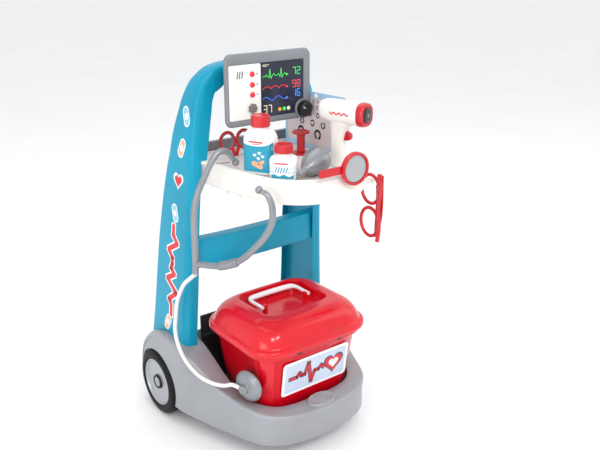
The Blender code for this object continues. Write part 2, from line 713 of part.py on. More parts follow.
def case_handle(mats, hub):
    """White bail: flat grip and two arms whose ends turn on the lid's pivots."""
    x, y, z = BAIL_PIVOT
    half = BAIL_HALF
    path = [(-half, y - 0.003, z), (-half, y + 0.012, z), (-half, y + 0.028, z),
            (-half + 0.003, y + 0.036, z),
            (-half + 0.011, y + BAIL_REACH, z), (0.0, y + BAIL_REACH + 0.0006, z + 0.0004),
            (half - 0.011, y + BAIL_REACH, z), (half - 0.003, y + 0.036, z), (half, y + 0.028, z),
            (half, y + 0.012, z), (half, y - 0.003, z)]
    radii = [0.0030, 0.0029, 0.0032, 0.0036, 0.0038, 0.0038, 0.0038, 0.0036, 0.0032, 0.0029, 0.0030]
    return add("case_handle", swept(path, radii, 10), mats["white"], hub)


def bail_pivots(lid):
    """Small red blocks on the recess floor that hold the ends of the bail."""
    x, y, z = BAIL_PIVOT
    for sign in (-1.0, 1.0):
        near = sign * (BAIL_HALF - 0.0042)
        far = sign * (BAIL_HALF - 0.0092)
        block = box((min(near, far), y - 0.004, LID_RECESS - 0.001),
                    (max(near, far), y + 0.004, z + 0.0035), 0.001, 1)
        join(lid, block, "pivot")


# ---------------------------------------------------------------- stethoscope
def stetho_point(share, z):
    """Point in the headset's upright plane: share 0 at the outer arm, 1 at the inner arm."""
    flat = STETHO_LEFT + (STETHO_RIGHT - STETHO_LEFT) * share
    return Vector((flat.x, flat.y, z))


def headset_paths():
    """Centre lines of the two arms: out of the ear tips, up, over and down to the yoke."""
    outer = [(-0.0860, -0.1500, 0.4760), (-0.0940, -0.1500, 0.4870), (-0.1040, -0.1500, 0.4935),
             (-0.1160, -0.1500, 0.4905), (-0.1280, -0.1500, 0.4760), (-0.1400, -0.1500, 0.4560),
             (-0.1500, -0.1500, 0.4380), (-0.1565, -0.1500, 0.4180), (-0.1590, -0.1500, 0.3930),
             (-0.1590, -0.1495, 0.3640), (-0.1585, -0.1485, 0.3380)]
    inner = [stetho_point(0.86, 0.4562), stetho_point(0.935, 0.4515), stetho_point(0.985, 0.4370),
             stetho_point(0.990, 0.4190), stetho_point(0.950, 0.4020), stetho_point(0.870, 0.3850),
             stetho_point(0.755, 0.3680), stetho_point(0.640, 0.3530), stetho_point(0.520, 0.3420),
             stetho_point(0.380, 0.3340), stetho_point(0.200, 0.3300), stetho_point(0.0, 0.3290)]
    return outer, inner


def headset(mats, hub):
    """Silver headset: two curved arms that meet in a ribbed yoke."""
    outer, inner = headset_paths()
    outer.append((-0.1582, -0.1465, 0.3130))
    first = bezier_path(outer, 3)
    second = bezier_path(inner, 3)
    obj = add("stethoscope_headset", swept(first, taper_list(len(first)), 8, 1.0), mats["silver"], hub)
    extra = swept(second, taper_list(len(second)), 8, 1.0)
    join(obj, extra, "inner_arm")
    grip = [stetho_point(s, z) for s, z in ((0.30, 0.3322), (0.34, 0.3333), (0.50, 0.3410),
                                            (0.54, 0.3432))]
    join(obj, swept(grip, [0.0055, 0.0068, 0.0068, 0.0055], 10), "yoke")
    return obj


def taper_list(count):
    """Arm radius: thin by the ear tip, full along the arm."""
    return [0.0036 + 0.0012 * min(1.0, i / 6.0) for i in range(count)]


def ear_tips(mats, hub):
    for name, path in zip(("outer", "inner"), headset_paths()):
        first = Vector(path[0])
        away = (first - Vector(path[1])).normalized()
        bm = turned([(0.0030, 0.0005), (0.0048, 0.0010), (0.0058, 0.0040), (0.0048, 0.0070),
                     (0.0022, 0.0085)],
                    first, away, 12)
        add(f"ear_tip_{name}", bm, mats["silver"], hub)


def tube_route():
    """Route of the stethoscope tube, from the headset down the upright and along the rim."""
    end = CHEST_AT + CHEST_AXIS * 0.0106 + TUBE_IN * (0.0072 + GAP)
    return [
        (-0.1582, -0.1448, 0.3095), (-0.1582, -0.1300, 0.2985), (-0.1582, -0.1060, 0.2780),
        (-0.1580, -0.0834, 0.2438), (-0.1578, -0.0745, 0.2130), (-0.1604, -0.0747, 0.1858),
        (-0.1602, -0.0840, 0.1615), (-0.1562, -0.0990, 0.1395), (-0.1497, -0.1240, 0.1240),
        (-0.1424, -0.1493, 0.1200), (-0.1340, -0.1725, 0.1222), end + TUBE_IN * 0.0160, end,
    ]


def tube_points():
    return bezier_path(tube_route(), TUBE_STEPS)


def tube(mats, hub):
    curve = bpy.data.curves.new("stethoscope_tube", "CURVE")
    curve.dimensions = "3D"
    curve.bevel_depth = TUBE_RADIUS
    curve.bevel_resolution = 2
    curve.use_fill_caps = True
    points = tube_points()
    spline = curve.splines.new("POLY")
    spline.points.add(len(points) - 1)
    for target, point in zip(spline.points, points):
        target.co = (*point, 1.0)
    obj = bpy.data.objects.new("stethoscope_tube", curve)
    obj.data.materials.append(mats["white"])
    bpy.context.scene.collection.objects.link(obj)
    obj.parent = hub
    obj.matrix_parent_inverse = hub.matrix_world.inverted()
    return obj


def chestpiece(mats, hub):
    """Silver sounding head: shallow dome, rim and hub for the tube."""
    bm = turned([(0.0235, -0.0046), (0.0258, -0.0032), (0.0258, -0.0006), (0.0232, 0.0022),
                 (0.0160, 0.0054),
                 (0.0084, 0.0066), (0.0072, 0.0072), (0.0072, 0.0138), (0.0056, 0.0148)],
                CHEST_AT, CHEST_AXIS, 28)
    return add("stethoscope_chestpiece", bm, mats["silver"], hub)


# ---------------------------------------------------------------- instruments
def placed(bm, turn, at):
    """Turn a locally built solid about Z and put it in place."""
    matrix = Matrix.Translation(Vector(at)) @ Matrix.Rotation(turn, 4, "Z")
    bmesh.ops.transform(bm, matrix=matrix, verts=bm.verts)
    return bm


def scissors_half(sign, name, mats, hub, y_shift, red):
    """One half: red finger loop above the pivot, silver blade below."""
    x, y = SCISSORS_AT
    z = SCISSORS_PIVOT_Z
    loop_centre = Vector((x + sign * 0.0155, y, z + 0.0350))
    major = 0.0128
    minor = 0.0024
    loops = []
    for i in range(24):
        t = 2.0 * math.pi * i / 24
        centre = loop_centre + Vector((major * math.cos(t), 0.0, major * 1.08 * math.sin(t)))
        out = Vector((math.cos(t), 0.0, math.sin(t)))
        loops.append([centre + out * minor * math.cos(a) + Vector((0, 1, 0)) * minor * math.sin(a)
                      for a in [2.0 * math.pi * k / 8 for k in range(8)]])
    obj = add(name, ring_solid(loops), red, hub)
    back = y_shift
    shank = [(x + sign * 0.0100, z + 0.0228), (x + sign * 0.0052, z + 0.0110),
             (x + sign * 0.0046, z + 0.0030),
             (x + sign * 0.0046, z - 0.0060), (x - sign * 0.0010, z - 0.0240),
             (x - sign * 0.0042, z - 0.0330),
             (x - sign * 0.0050, z - 0.0240), (x - sign * 0.0048, z - 0.0040),
             (x - sign * 0.0046, z + 0.0040),
             (x + sign * 0.0006, z + 0.0120), (x + sign * 0.0045, z + 0.0250)]
    loops = [[(px, y + back + d, pz) for px, pz in shank] for d in (-0.0011, 0.0011)]
    join(obj, loops_solid(loops), "shank")
    bore = turned([(0.0018, -0.02), (0.0018, 0.02)], (x, y, z), (0, 1, 0), 12)
    cut(obj, bore, "bore")
    return obj


def scissors_rivet(mats, hub):
    x, y = SCISSORS_AT
    bm = turned([(0.0028, -0.0034), (0.0028, -0.0026), (0.0015, -0.0026), (0.0015, 0.0026),
                 (0.0028, 0.0026),
                 (0.0028, 0.0034)], (x, y, SCISSORS_PIVOT_Z), (0, 1, 0), 12)
    return add("scissors_rivet", bm, mats["steel"], hub)


def bottle(name, at, turn, size, mats, hub):
    """Blow-moulded bottle: flattened rounded body, shoulder, neck, and a ribbed screw cap."""
    wide, deep, tall, neck, cap_high = size

    def ring(w, d, r, z):
        return [(x, y, z) for x, y in rounded_rect(w, -d, d, r, 3)]

    w = wide / 2.0
    d = deep / 2.0
    r = d * 0.75
    loops = [ring(w - 0.002, d - 0.002, r - 0.001, 0.0), ring(w, d, r, 0.003), ring(w, d, r, tall * 0.72),
             ring(w * 0.93, d * 0.95, r, tall * 0.86), ring(w * 0.62, d * 0.82, d * 0.76, tall * 0.975),
             ring(neck, neck, neck * 0.96, tall), ring(neck, neck, neck * 0.96, tall + 0.002)]
    body = placed(loops_solid(loops), turn, (*at, TRAY_FLOOR + GAP))
    add(name, body, mats["white"], hub)
    low = tall + 0.002 + GAP
    rings = []
    rad = neck * 1.30
    for radius, z in ((rad * 0.96, low), (rad, low + 0.001), (rad, low + cap_high - 0.0012),
                      (rad * 0.9, low + cap_high)):
        rings.append([(radius * math.cos(2 * math.pi * i / 24),
                       radius * math.sin(2 * math.pi * i / 24), z)
                      for i in range(24)])
    cap = placed(loops_solid(rings), turn, (*at, TRAY_FLOOR + GAP))
    add(f"{name}_cap", cap, mats["red"], hub)


def syringe(mats, hub, plunger_hub):
    """Barrel stands through a hole in the tray on its finger flange; the plunger slides in it."""
    x, y = SYRINGE_AT
    z = TRAY_FLOOR + GAP
    barrel = turned([(0.0070, -0.0420), (0.0085, -0.0420), (0.0085, 0.0), (0.0146, 0.0), (0.0146, 0.0026),
                     (0.0070, 0.0026)], (x, y, z), (0, 0, 1), 24, closed=True)
    add("syringe_barrel", barrel, mats["red"], hub)
    plunger = turned([(0.0066, -0.0100), (0.0066, 0.0310), (0.0080, 0.0320), (0.0144, 0.0335),
                      (0.0144, 0.0362),
                      (0.0136, 0.0370)], (x, y, z), (0, 0, 1), 24)
    add("syringe_plunger", plunger, mats["red"], plunger_hub)


def otoscope(mats, hub):
    """Silver pear-shaped otoscope lying on the tray."""
    axis = OTO_TAIL - OTO_NOSE
    length = axis.length
    shape = [(0.0030, 0.0), (0.0042, 0.02), (0.0050, 0.10), (0.0056, 0.20), (0.0100, 0.30),
             (0.0150, 0.45),
             (0.0188, 0.62), (0.0198, 0.78), (0.0184, 0.90), (0.0156, 0.97), (0.0122, 1.0)]
    bm = turned([(r, s * length) for r, s in shape], OTO_NOSE, axis, 24)
    return add("otoscope", bm, mats["silver"], hub)


def mirror(mats, hub):
    """Round reflex disc in a red ring with a flat red handle."""
    c = MIRROR_AT
    ring = turned([(0.0203, -0.0035), (0.0232, -0.0040), (0.0243, -0.0025), (0.0243, 0.0030),
                   (0.0232, 0.0040),
                   (0.0100, 0.0040), (0.0100, 0.0012), (0.0203, 0.0012)], c, (0, 1, 0), 28, closed=True)
    obj = add("mirror_ring", ring, mats["red"], hub)
    low = (c.x - 0.0640, c.y + 0.0010, c.z - 0.0050)
    high = (c.x - 0.0215, c.y + 0.0036, c.z + 0.0070)
    join(obj, box(low, high, 0.0008, 1), "handle")
    disc = turned([(0.0200, -0.0020), (0.0200, 0.0009), (0.0040, 0.0009)], c, (0, 1, 0), 28)
    add("mirror_face", disc, mats["silver"], hub)


def gun_local():
    """Cross-sections of the head along its axis (distance, half width, half height, lift)."""
    return [(-0.0400, 0.0080, 0.0085, 0.0020), (-0.0380, 0.0120, 0.0125, 0.0018),
            (-0.0300, 0.0150, 0.0160, 0.0010),
            (-0.0100, 0.0165, 0.0178, 0.0), (0.0150, 0.0160, 0.0175, 0.0), (0.0300, 0.0150, 0.0168, 0.0)]


def super_ring(half_w, half_h, count, power=2.6):
    out = []
    for i in range(count):
        t = 2.0 * math.pi * i / count
        c = math.cos(t)
        s = math.sin(t)
        out.append((half_w * math.copysign(abs(c) ** (2 / power), c),
                    half_h * math.copysign(abs(s) ** (2 / power), s)))
    return out


def thermometer(mats, hub, trigger_hub):
    """Pistol thermometer standing on its grip: white body, red nose ring, dark window, red trigger."""
    loops = []
    for along, w, h, lift in gun_local():
        loops.append([(u, -along, v + lift) for u, v in super_ring(w, h, 20)])
    loops = [[(x, y, z) for x, y, z in loop] for loop in loops]
    bm = placed(loops_solid(loops), GUN_TURN, GUN_AT)
    body = add("thermometer_body", bm, mats["white"], hub)
    drop = GUN_AT.z - TRAY_FLOOR - GAP
    grips = []
    for z, w, front, back in ((-drop, 0.0110, 0.0010, 0.0170), (-drop + 0.002, 0.0120, -0.0005, 0.0185),
                              (-0.045, 0.0118, -0.0020, 0.0190), (-0.026, 0.0122, -0.0080, 0.0200),
                              (-0.014, 0.0135, -0.0180, 0.0215), (-0.004, 0.0140, -0.0240, 0.0220)):
        mid = (front + back) / 2.0
        grips.append([(u, mid + v, z) for u, v in super_ring(w, (back - front) / 2.0, 20)])
    join(body, placed(loops_solid(grips), GUN_TURN, GUN_AT), "grip")
    slot = placed(box((-0.0038, -0.0400, -0.0420), (0.0038, 0.0040, -0.0280)), GUN_TURN, GUN_AT)
    cut(body, slot, "trigger_slot")
    nose = []
    for along, w, h in ((0.0303, 0.0152, 0.0172), (0.0330, 0.0158, 0.0178), (0.0395, 0.0150, 0.0170),
                        (0.0420, 0.0125, 0.0142), (0.0405, 0.0095, 0.0115)):
        nose.append([(u, -along, v) for u, v in super_ring(w, h, 20)])
    ring = placed(loops_solid(nose), GUN_TURN, GUN_AT)
    add("thermometer_nose", ring, mats["red"], hub)
    window = []
    for along, w, h in ((0.0408, 0.0088, 0.0108), (0.0424, 0.0088, 0.0108), (0.0430, 0.0070, 0.0090)):
        window.append([(u, -along, v) for u, v in super_ring(w, h, 20)])
    add("thermometer_window", placed(loops_solid(window), GUN_TURN, GUN_AT), mats["screen"], hub)
    flat = [(0.0000, -0.0283), (-0.0090, -0.0283), (-0.0140, -0.0310), (-0.0152, -0.0350),
            (-0.0138, -0.0395),
            (-0.0090, -0.0417), (0.0000, -0.0417)]
    loops = [[(x, y, z) for y, z in flat] for x in (-0.0034, 0.0034)]
    bm = placed(loops_solid(loops), GUN_TURN, GUN_AT)
    add("thermometer_trigger", bm, mats["red"], trigger_hub, smooth=False)


def eye_chart(mats, root):
    """Printed card standing on the tray along its right side, held by a round pin."""
    rim = TRAY_TOP - TRAY_FLOOR
    outline = [(-0.2080, rim), (-0.2080, 0.0930), (-0.2050, 0.0960), (-0.0960, 0.0940), (-0.0540, 0.0740),
               (-0.0540, 0.0), (-0.1500, 0.0), (-0.1520, rim)]
    base = TRAY_FLOOR + GAP
    loops = [[(x, y, base + z) for y, z in outline] for x in (CHART_X - 0.0006, CHART_X + 0.0006)]
    add("eye_chart", loops_solid(loops), mats["label"], root, smooth=False)
    pin = turned([(0.0035, 0.0), (0.0042, 0.0004), (0.0036, 0.0018), (0.0016, 0.0024)],
                 (CHART_X - 0.0006 - GAP, -0.1359, 0.5511), (-1, 0, 0), 16)
    add("chart_pin", pin, mats["white"], root)


def glasses(mats, hub, hubs):
    """Red play glasses hung by one lens ring on the tray's side hook, temples folded."""
    c = GLASSES_AT
    obj = None
    for side in (-1.0, 1.0):
        loops = []
        for i in range(24):
            t = 2.0 * math.pi * i / 24
            out = Vector((0.0, math.cos(t), math.sin(t)))
            ring_at = c + Vector((0.0, 0.0205 * math.cos(t), 0.0275 * side + 0.0235 * math.sin(t)))
            loops.append([ring_at + out * 0.0022 * math.cos(a) + Vector((1, 0, 0)) * 0.0026 * math.sin(a)
                          for a in [2.0 * math.pi * k / 8 for k in range(8)]])
        bm = ring_solid(loops)
        if obj is None:
            obj = add("glasses_front", bm, mats["red"], hub)
        else:
            join(obj, bm, "second_lens")
    brow = [(c.x, c.y - 0.0190, c.z - 0.0560), (c.x, c.y - 0.0215, c.z - 0.0300),
            (c.x, c.y - 0.0185, c.z),
            (c.x, c.y - 0.0215, c.z + 0.0300), (c.x, c.y - 0.0190, c.z + 0.0560)]
    join(obj, swept(bezier_path(brow, 3), 0.0031, 8), "brow")
    for hub_i, name, side in ((hubs[0], "glasses_temple_upper", 1.0),
                              (hubs[1], "glasses_temple_lower", -1.0)):
        start = temple_hinge(side)
        path = []
        for along, out in ((0.0, 0.0), (0.018, 0.0003), (0.045, 0.0012), (0.062, 0.0010),
                           (0.076, 0.0), (0.088, -0.002)):
            path.append(start + Vector((out, 0.0, -side * along)))
        add(name, swept(path, [0.0028, 0.0024, 0.0022, 0.0024, 0.0026, 0.0022], 8), mats["red"], hub_i)
    return obj


def temple_hinge(side):
    """Where a temple folds on the outer face of the frame, near one end of the brow bar."""
    return GLASSES_AT + Vector((0.0064, -0.0135 - 0.0035 * side, side * 0.0525))


def materials():
    return {
        "grey": material("silver_grey_plastic", (0.55, 0.56, 0.58), 0.42),
        "mid_grey": material("monitor_grey_plastic", (0.28, 0.29, 0.30), 0.40),
        "charcoal": material("charcoal_plastic", (0.045, 0.048, 0.055), 0.50),
        "teal": material("teal_plastic", (0.0, 0.42, 0.60), 0.35),
        "white": material("white_plastic", (0.86, 0.85, 0.83), 0.32),
        "red": material("red_plastic", (0.78, 0.012, 0.030), 0.30),
        "black": material("black_plastic", (0.012, 0.012, 0.013), 0.35),
        "black_soft": material("foot_rubber", (0.03, 0.03, 0.03), 0.80),
        "rubber": material("tyre_plastic", (0.018, 0.018, 0.020), 0.55),
        "silver": material("silver_paint_plastic", (0.50, 0.51, 0.52), 0.32, 0.35),
        "steel": material("bright_steel", (0.62, 0.62, 0.63), 0.25, 1.0),
        "screen": material("screen_print", (0.015, 0.015, 0.03), 0.20),
        "label": material("printed_label", (0.74, 0.79, 0.86), 0.40),
        "brown_grey": material("warm_grey_plastic", (0.16, 0.13, 0.115), 0.45),
    }


def main():
    clear_scene()
    mats = materials()
    origin = empty("trolley", (0.0, 0.0, 0.0))
    root = origin
    base_shell(mats, root)
    rear_panel(mats, root)
    axle(mats, root)
    for side in ("left", "right"):
        sign = -1.0 if side == "left" else 1.0
        hub = empty(f"{side}_wheel_axis", (sign * (WHEEL_OUTER_X - TYRE_WIDTH / 2.0), 0.0,
                                           TYRE_RADIUS), root)
        wheel(side, mats, hub)
        rail(side, mats, root)
        foot(side, mats, root)
    top_handle(mats, root)
    cross_brace(mats, root)
    tray(mats, root)
    tray_bar(mats, root)
    monitor(mats, root)
    monitor_front(mats, root)
    buttons(mats, root)
    mode_knob(mats, root)
    dial(mats, root)
    battery_cover(mats, root)
    case_hub = empty("case_lift", (0.0, -0.160, CASE_BOTTOM), root)
    case_body(mats, case_hub)
    case_label(mats, case_hub)
    lid_hub = empty("lid_axis", LID_HINGE, case_hub)
    case_lid(mats, lid_hub)
    bail_hub = empty("bail_axis", BAIL_PIVOT, lid_hub)
    case_handle(mats, bail_hub)
    stetho_hub = empty("stethoscope_lift", stetho_point(0.5, 0.33), root)
    headset(mats, stetho_hub)
    ear_tips(mats, stetho_hub)
    tube(mats, stetho_hub)
    chestpiece(mats, stetho_hub)
    x, y = SCISSORS_AT
    left_half = empty("scissors_lift", (x, y, SCISSORS_PIVOT_Z), root)
    right_half = empty("scissors_pivot", (x, y, SCISSORS_PIVOT_Z), left_half)
    scissors_half(-1.0, "scissors_left", mats, left_half, -0.00125, mats["red"])
    scissors_half(1.0, "scissors_right", mats, right_half, 0.00125, mats["red"])
    scissors_rivet(mats, left_half)
    large_hub = empty("bottle_large_lift", (*LARGE_AT, TRAY_FLOOR), root)
    bottle("bottle_large", LARGE_AT, LARGE_TURN, (0.050, 0.030, 0.067, 0.0108, 0.0165), mats, large_hub)
    small_hub = empty("bottle_small_lift", (*SMALL_AT, TRAY_FLOOR), root)
    bottle("bottle_small", SMALL_AT, SMALL_TURN, (0.040, 0.027, 0.036, 0.0104, 0.0125), mats, small_hub)
    syringe_hub = empty("syringe_lift", (*SYRINGE_AT, TRAY_FLOOR), root)
    plunger_hub = empty("plunger_axis", (*SYRINGE_AT, TRAY_FLOOR), syringe_hub)
    syringe(mats, syringe_hub, plunger_hub)
    oto_hub = empty("otoscope_lift", OTO_TAIL, root)
    otoscope(mats, oto_hub)
    mirror_hub = empty("mirror_lift", MIRROR_AT, root)
    mirror(mats, mirror_hub)
    gun_hub = empty("thermometer_lift", GUN_AT, root)
    trigger_hub = empty("trigger_axis", GUN_AT, gun_hub)
    thermometer(mats, gun_hub, trigger_hub)
    eye_chart(mats, root)
    glasses_hub = empty("glasses_lift", GLASSES_AT, root)
    upper = empty("temple_upper_axis", temple_hinge(1.0), glasses_hub)
    lower = empty("temple_lower_axis", temple_hinge(-1.0), glasses_hub)
    glasses(mats, glasses_hub, (upper, lower))
    origin.location = (-CENTRE_X, -CENTRE_Y, 0.0)
    bpy.context.view_layer.update()


main()
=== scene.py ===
"""Toy crash cart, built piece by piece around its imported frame. Metres, +Z up, -Y the front of the cart."""

import math

import bpy
import numpy as np
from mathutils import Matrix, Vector


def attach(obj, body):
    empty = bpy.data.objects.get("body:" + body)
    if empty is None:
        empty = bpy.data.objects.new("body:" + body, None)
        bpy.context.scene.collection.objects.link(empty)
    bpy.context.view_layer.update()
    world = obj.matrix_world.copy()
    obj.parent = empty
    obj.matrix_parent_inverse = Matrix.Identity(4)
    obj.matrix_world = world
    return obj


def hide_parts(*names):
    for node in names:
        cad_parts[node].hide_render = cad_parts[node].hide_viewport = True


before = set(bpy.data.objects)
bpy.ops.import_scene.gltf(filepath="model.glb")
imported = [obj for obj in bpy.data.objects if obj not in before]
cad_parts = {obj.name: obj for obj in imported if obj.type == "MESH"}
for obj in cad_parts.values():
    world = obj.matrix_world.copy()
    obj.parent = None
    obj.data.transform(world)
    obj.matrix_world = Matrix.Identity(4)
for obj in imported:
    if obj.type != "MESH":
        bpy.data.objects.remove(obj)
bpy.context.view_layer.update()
scene = bpy.context.scene


# ---------------------------------------------------------------- camera, floor and light
# The cart stands on a plain white floor that runs on without an edge.
# Two small soft lamps hang up front; larger, weaker ones stand at the sides and overhead.
eye = Vector((-0.6957, -0.9779, 0.7725))
turn, dip = math.radians(37.834), math.radians(19.570)
look = Vector((math.sin(turn) * math.cos(dip), math.cos(turn) * math.cos(dip), -math.sin(dip)))
camera = bpy.data.objects.new("camera", bpy.data.cameras.new("camera"))
camera.data.lens = 46.695
camera.data.sensor_width = 36.0
camera.data.clip_start = 0.02
camera.location = eye
camera.rotation_euler = look.to_track_quat("-Z", "Y").to_euler()
scene.collection.objects.link(camera)
scene.camera = camera
scene.view_settings.view_transform = "Standard"


class Wire:
    """A socket that takes part in sums: every operator adds the Math node of its name."""

    def __init__(self, finish, socket):
        self.finish, self.socket = finish, socket

    def sum(self, operation, *terms):
        return self.finish.node("ShaderNodeMath", {"operation": operation}, dict(enumerate(terms)))

    def __add__(self, other):
        return self.sum("ADD", self, other)

    __radd__ = __add__

    def __sub__(self, other):
        return self.sum("SUBTRACT", self, other)

    def __rsub__(self, other):
        return self.sum("SUBTRACT", other, self)

    def __mul__(self, other):
        return self.sum("MULTIPLY", self, other)

    __rmul__ = __mul__

    def __truediv__(self, other):
        return self.sum("DIVIDE", self, other)

    def __rtruediv__(self, other):
        return self.sum("DIVIDE", other, self)

    def __lt__(self, other):
        return self.sum("LESS_THAN", self, other)

    def __gt__(self, other):
        return self.sum("GREATER_THAN", self, other)

    def __abs__(self):
        return self.sum("ABSOLUTE", self)


def ink(red, green, blue):
    """Linear colour of a paint given as red, green and blue from 0 to 255."""
    shares = [v / 255.0 for v in (red, green, blue)]
    return tuple(v / 12.92 if v < 0.0392 else ((v + 0.055) / 1.055) ** 2.4 for v in shares) + (1.0,)


class Finish:
    """One surface finish: a shader with steady values, and the nodes that vary it over the surface."""

    def __init__(self, name, **steady):
        self.material = bpy.data.materials.new(name)
        self.material.use_nodes = True
        self.tree = self.material.node_tree
        self.tree.nodes.clear()
        self.shader = self.tree.nodes.new("ShaderNodeBsdfPrincipled")
        out = self.tree.nodes.new("ShaderNodeOutputMaterial")
        self.tree.links.new(self.shader.outputs[0], out.inputs[0])
        for socket, value in steady.items():
            self.shader.inputs[socket.replace("_", " ")].default_value = value
        self.place = self.node("ShaderNodeTexCoord", out="Object")

    def node(self, kind, settings=None, sockets=None, out=0):
        made = self.tree.nodes.new(kind)
        for key, value in (settings or {}).items():
            if key == "stops":
                ramp = made.color_ramp
                while len(ramp.elements) < len(value):
                    ramp.elements.new(0.5)
                for stop, (at, colour) in zip(ramp.elements, value):
                    stop.position, stop.color = at, colour
            else:
                setattr(made, key, value)
        for key, value in (sockets or {}).items():
            if isinstance(value, Wire):
                self.tree.links.new(value.socket, made.inputs[key])
            else:
                made.inputs[key].default_value = value
        return Wire(self, made.outputs[out])

    def feed(self, socket, wire):
        self.tree.links.new(wire.socket, self.shader.inputs[socket])

    def noise(self, scale, detail=3.0, where=None, rough=0.5):
        where = where or self.place
        return self.node("ShaderNodeTexNoise", None,
                         {"Vector": where, "Scale": scale, "Detail": detail, "Roughness": rough})

    def ramp(self, wire, *stops):
        """Grey ramp: pairs of place and value."""
        return self.node("ShaderNodeValToRGB", {"stops": [(at, (v, v, v, 1.0)) for at, v in stops]},
                         {0: wire})

    def mix(self, share, first, second):
        return self.node("ShaderNodeMix", {"data_type": "RGBA"}, {0: share, 6: first, 7: second}, out=2)

    def stretched(self, x, y, z):
        return self.node("ShaderNodeMapping", None, {"Vector": self.place, "Scale": (x, y, z)})

    def axes(self):
        """The three object coordinates, each on its own."""
        parts = self.tree.nodes.new("ShaderNodeSeparateXYZ")
        self.tree.links.new(self.place.socket, parts.inputs[0])
        return [Wire(self, parts.outputs[i]) for i in range(3)]

    def bump(self, height, strength, distance):
        values = {"Height": height, "Strength": strength, "Distance": distance}
        self.feed("Normal", self.node("ShaderNodeBump", None, values))


def moulded(name, colour, rough=0.35, grain=0.25, pits=900.0, mottle=0.06, marks=0.10, **steady):
    """Moulded plastic: broad flow shading in the colour, an even spark-eroded grain, faint hairline rubs."""
    steady.setdefault("Roughness", rough)
    made = Finish(name, **steady)
    flow = made.noise(14.0, 4.0)
    dark = tuple(c * (1.0 - 2.0 * mottle) for c in colour[:3]) + (1.0,)
    light = tuple(min(1.0, c * (1.0 + mottle)) for c in colour[:3]) + (1.0,)
    tone = made.mix(made.ramp(flow, (0.32, 0.0), (0.68, 1.0)), dark, light)
    rubs = made.ramp(made.noise(60.0, 6.0, made.stretched(9.0, 9.0, 1.0), 0.62), (0.60, 0.0), (0.72, 1.0))
    pale = tuple(min(1.0, c * 0.9 + 0.06) for c in colour[:3]) + (1.0,)
    made.feed("Base Color", made.mix(rubs * marks, tone, pale))
    made.feed("Roughness", rough * 0.86 + flow * rough * 0.28 + rubs * 0.12 * marks * 4.0)
    grains = made.noise(pits, 2.0)
    waves = made.noise(38.0, 2.0)
    made.bump(grains * 0.30 + waves, grain, 0.0004)
    return made.material


def to_mesh(name, points, faces, material):
    """Mesh at the origin with its faces turned outwards: a negative volume means they all pointed in."""
    mesh = bpy.data.meshes.new(name)
    points = np.asarray(points, float)
    total = 0.0
    for face in faces:
        a = points[face[0]]
        b, c = points[face[1:-1]], points[face[2:]]
        total += np.einsum("ij,ij->", np.cross(b, c), np.broadcast_to(a, b.shape))
    if total < 0.0:
        faces = [face[::-1] for face in faces]
    mesh.from_pydata(points.tolist(), [], [list(face) for face in faces])
    mesh.materials.append(material)
    obj = bpy.data.objects.new(name, mesh)
    scene.collection.objects.link(obj)
    return obj


DESIGN_TO_FLOOR = np.array((0.0, 0.1163, 0.0))


def skin(name, rows, material, ring=False, sharp=35.0):
    """Closed skin over a stack of closed loops: quads between neighbours, and a cap on each end
    unless the last loop joins the first."""
    rows = np.asarray(rows, float) + DESIGN_TO_FLOOR
    tall, wide = rows.shape[:2]
    index = np.arange(tall * wide).reshape(tall, wide)
    low = index if ring else index[:-1]
    high = np.roll(index, -1, 0) if ring else index[1:]
    quads = np.stack((low, np.roll(low, -1, 1), np.roll(high, -1, 1), high), -1).reshape(-1, 4)
    faces = list(quads)
    if not ring:
        faces += [index[0][::-1], index[-1]]
    obj = to_mesh(name, rows.reshape(-1, 3), faces, material)
    obj.data.shade_smooth()
    obj.data.set_sharp_from_angle(angle=math.radians(sharp))
    return obj


def on(obj, body, *nodes, slot=None):
    """The finished piece moves with its body and stands for its CAD nodes."""
    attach(obj, body)
    if nodes:
        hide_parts(*nodes)
    return obj


def refinish(node, material):
    """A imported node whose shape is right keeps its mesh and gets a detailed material."""
    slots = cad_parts[node].data.materials
    slots.clear()
    slots.append(material)


def through(points, per=8, closed=False):
    """Smooth curve through the points: on each span a cubic that leaves and arrives along the
    line between the neighbours of its two ends."""
    p = np.asarray(points, float)
    q = np.concatenate((p[-1:], p, p[:2])) if closed else np.concatenate((p[:1], p, p[-1:]))
    a, b, c, d = (q[i:len(q) - 3 + i, None, :] for i in range(4))
    t = (np.arange(per) / per)[None, :, None]
    line = 0.5 * (2 * b + (c - a) * t + (2 * a - 5 * b + 4 * c - d) * t**2 + (3 * b - a - 3 * c + d) * t**3)
    line = line.reshape(-1, p.shape[1])
    return line if closed else np.concatenate((line, p[-1:]))


def swept(path, radius, sides=20, flat=1.0):
    """Bar along a path: at each point a circle square to the path, its side carried on without twist; flat
    squeezes the circle across."""
    path = np.asarray(path, float)
    radius = np.broadcast_to(np.asarray(radius, float), len(path))
    ahead = np.gradient(path, axis=0)
    ahead /= np.linalg.norm(ahead, axis=1)[:, None]
    side = np.cross(ahead[0], (0.0, 0.0, 1.0) if abs(ahead[0][2]) < 0.9 else (1.0, 0.0, 0.0))
    sides_at = []
    for way in ahead:
        side = side - way * side.dot(way)
        side = side / np.linalg.norm(side)
        sides_at.append(side)
    sides_at = np.array(sides_at)
    across = np.cross(ahead, sides_at)
    t = np.linspace(0.0, 2.0 * np.pi, sides, endpoint=False)[None, :, None]
    ring = sides_at[:, None] * np.cos(t) + across[:, None] * np.sin(t) * flat
    return path[:, None] + radius[:, None, None] * ring


def resample(values, count):
    """Evenly spaced readings of a short list."""
    return np.interp(np.linspace(0, len(values) - 1, count), range(len(values)), values)


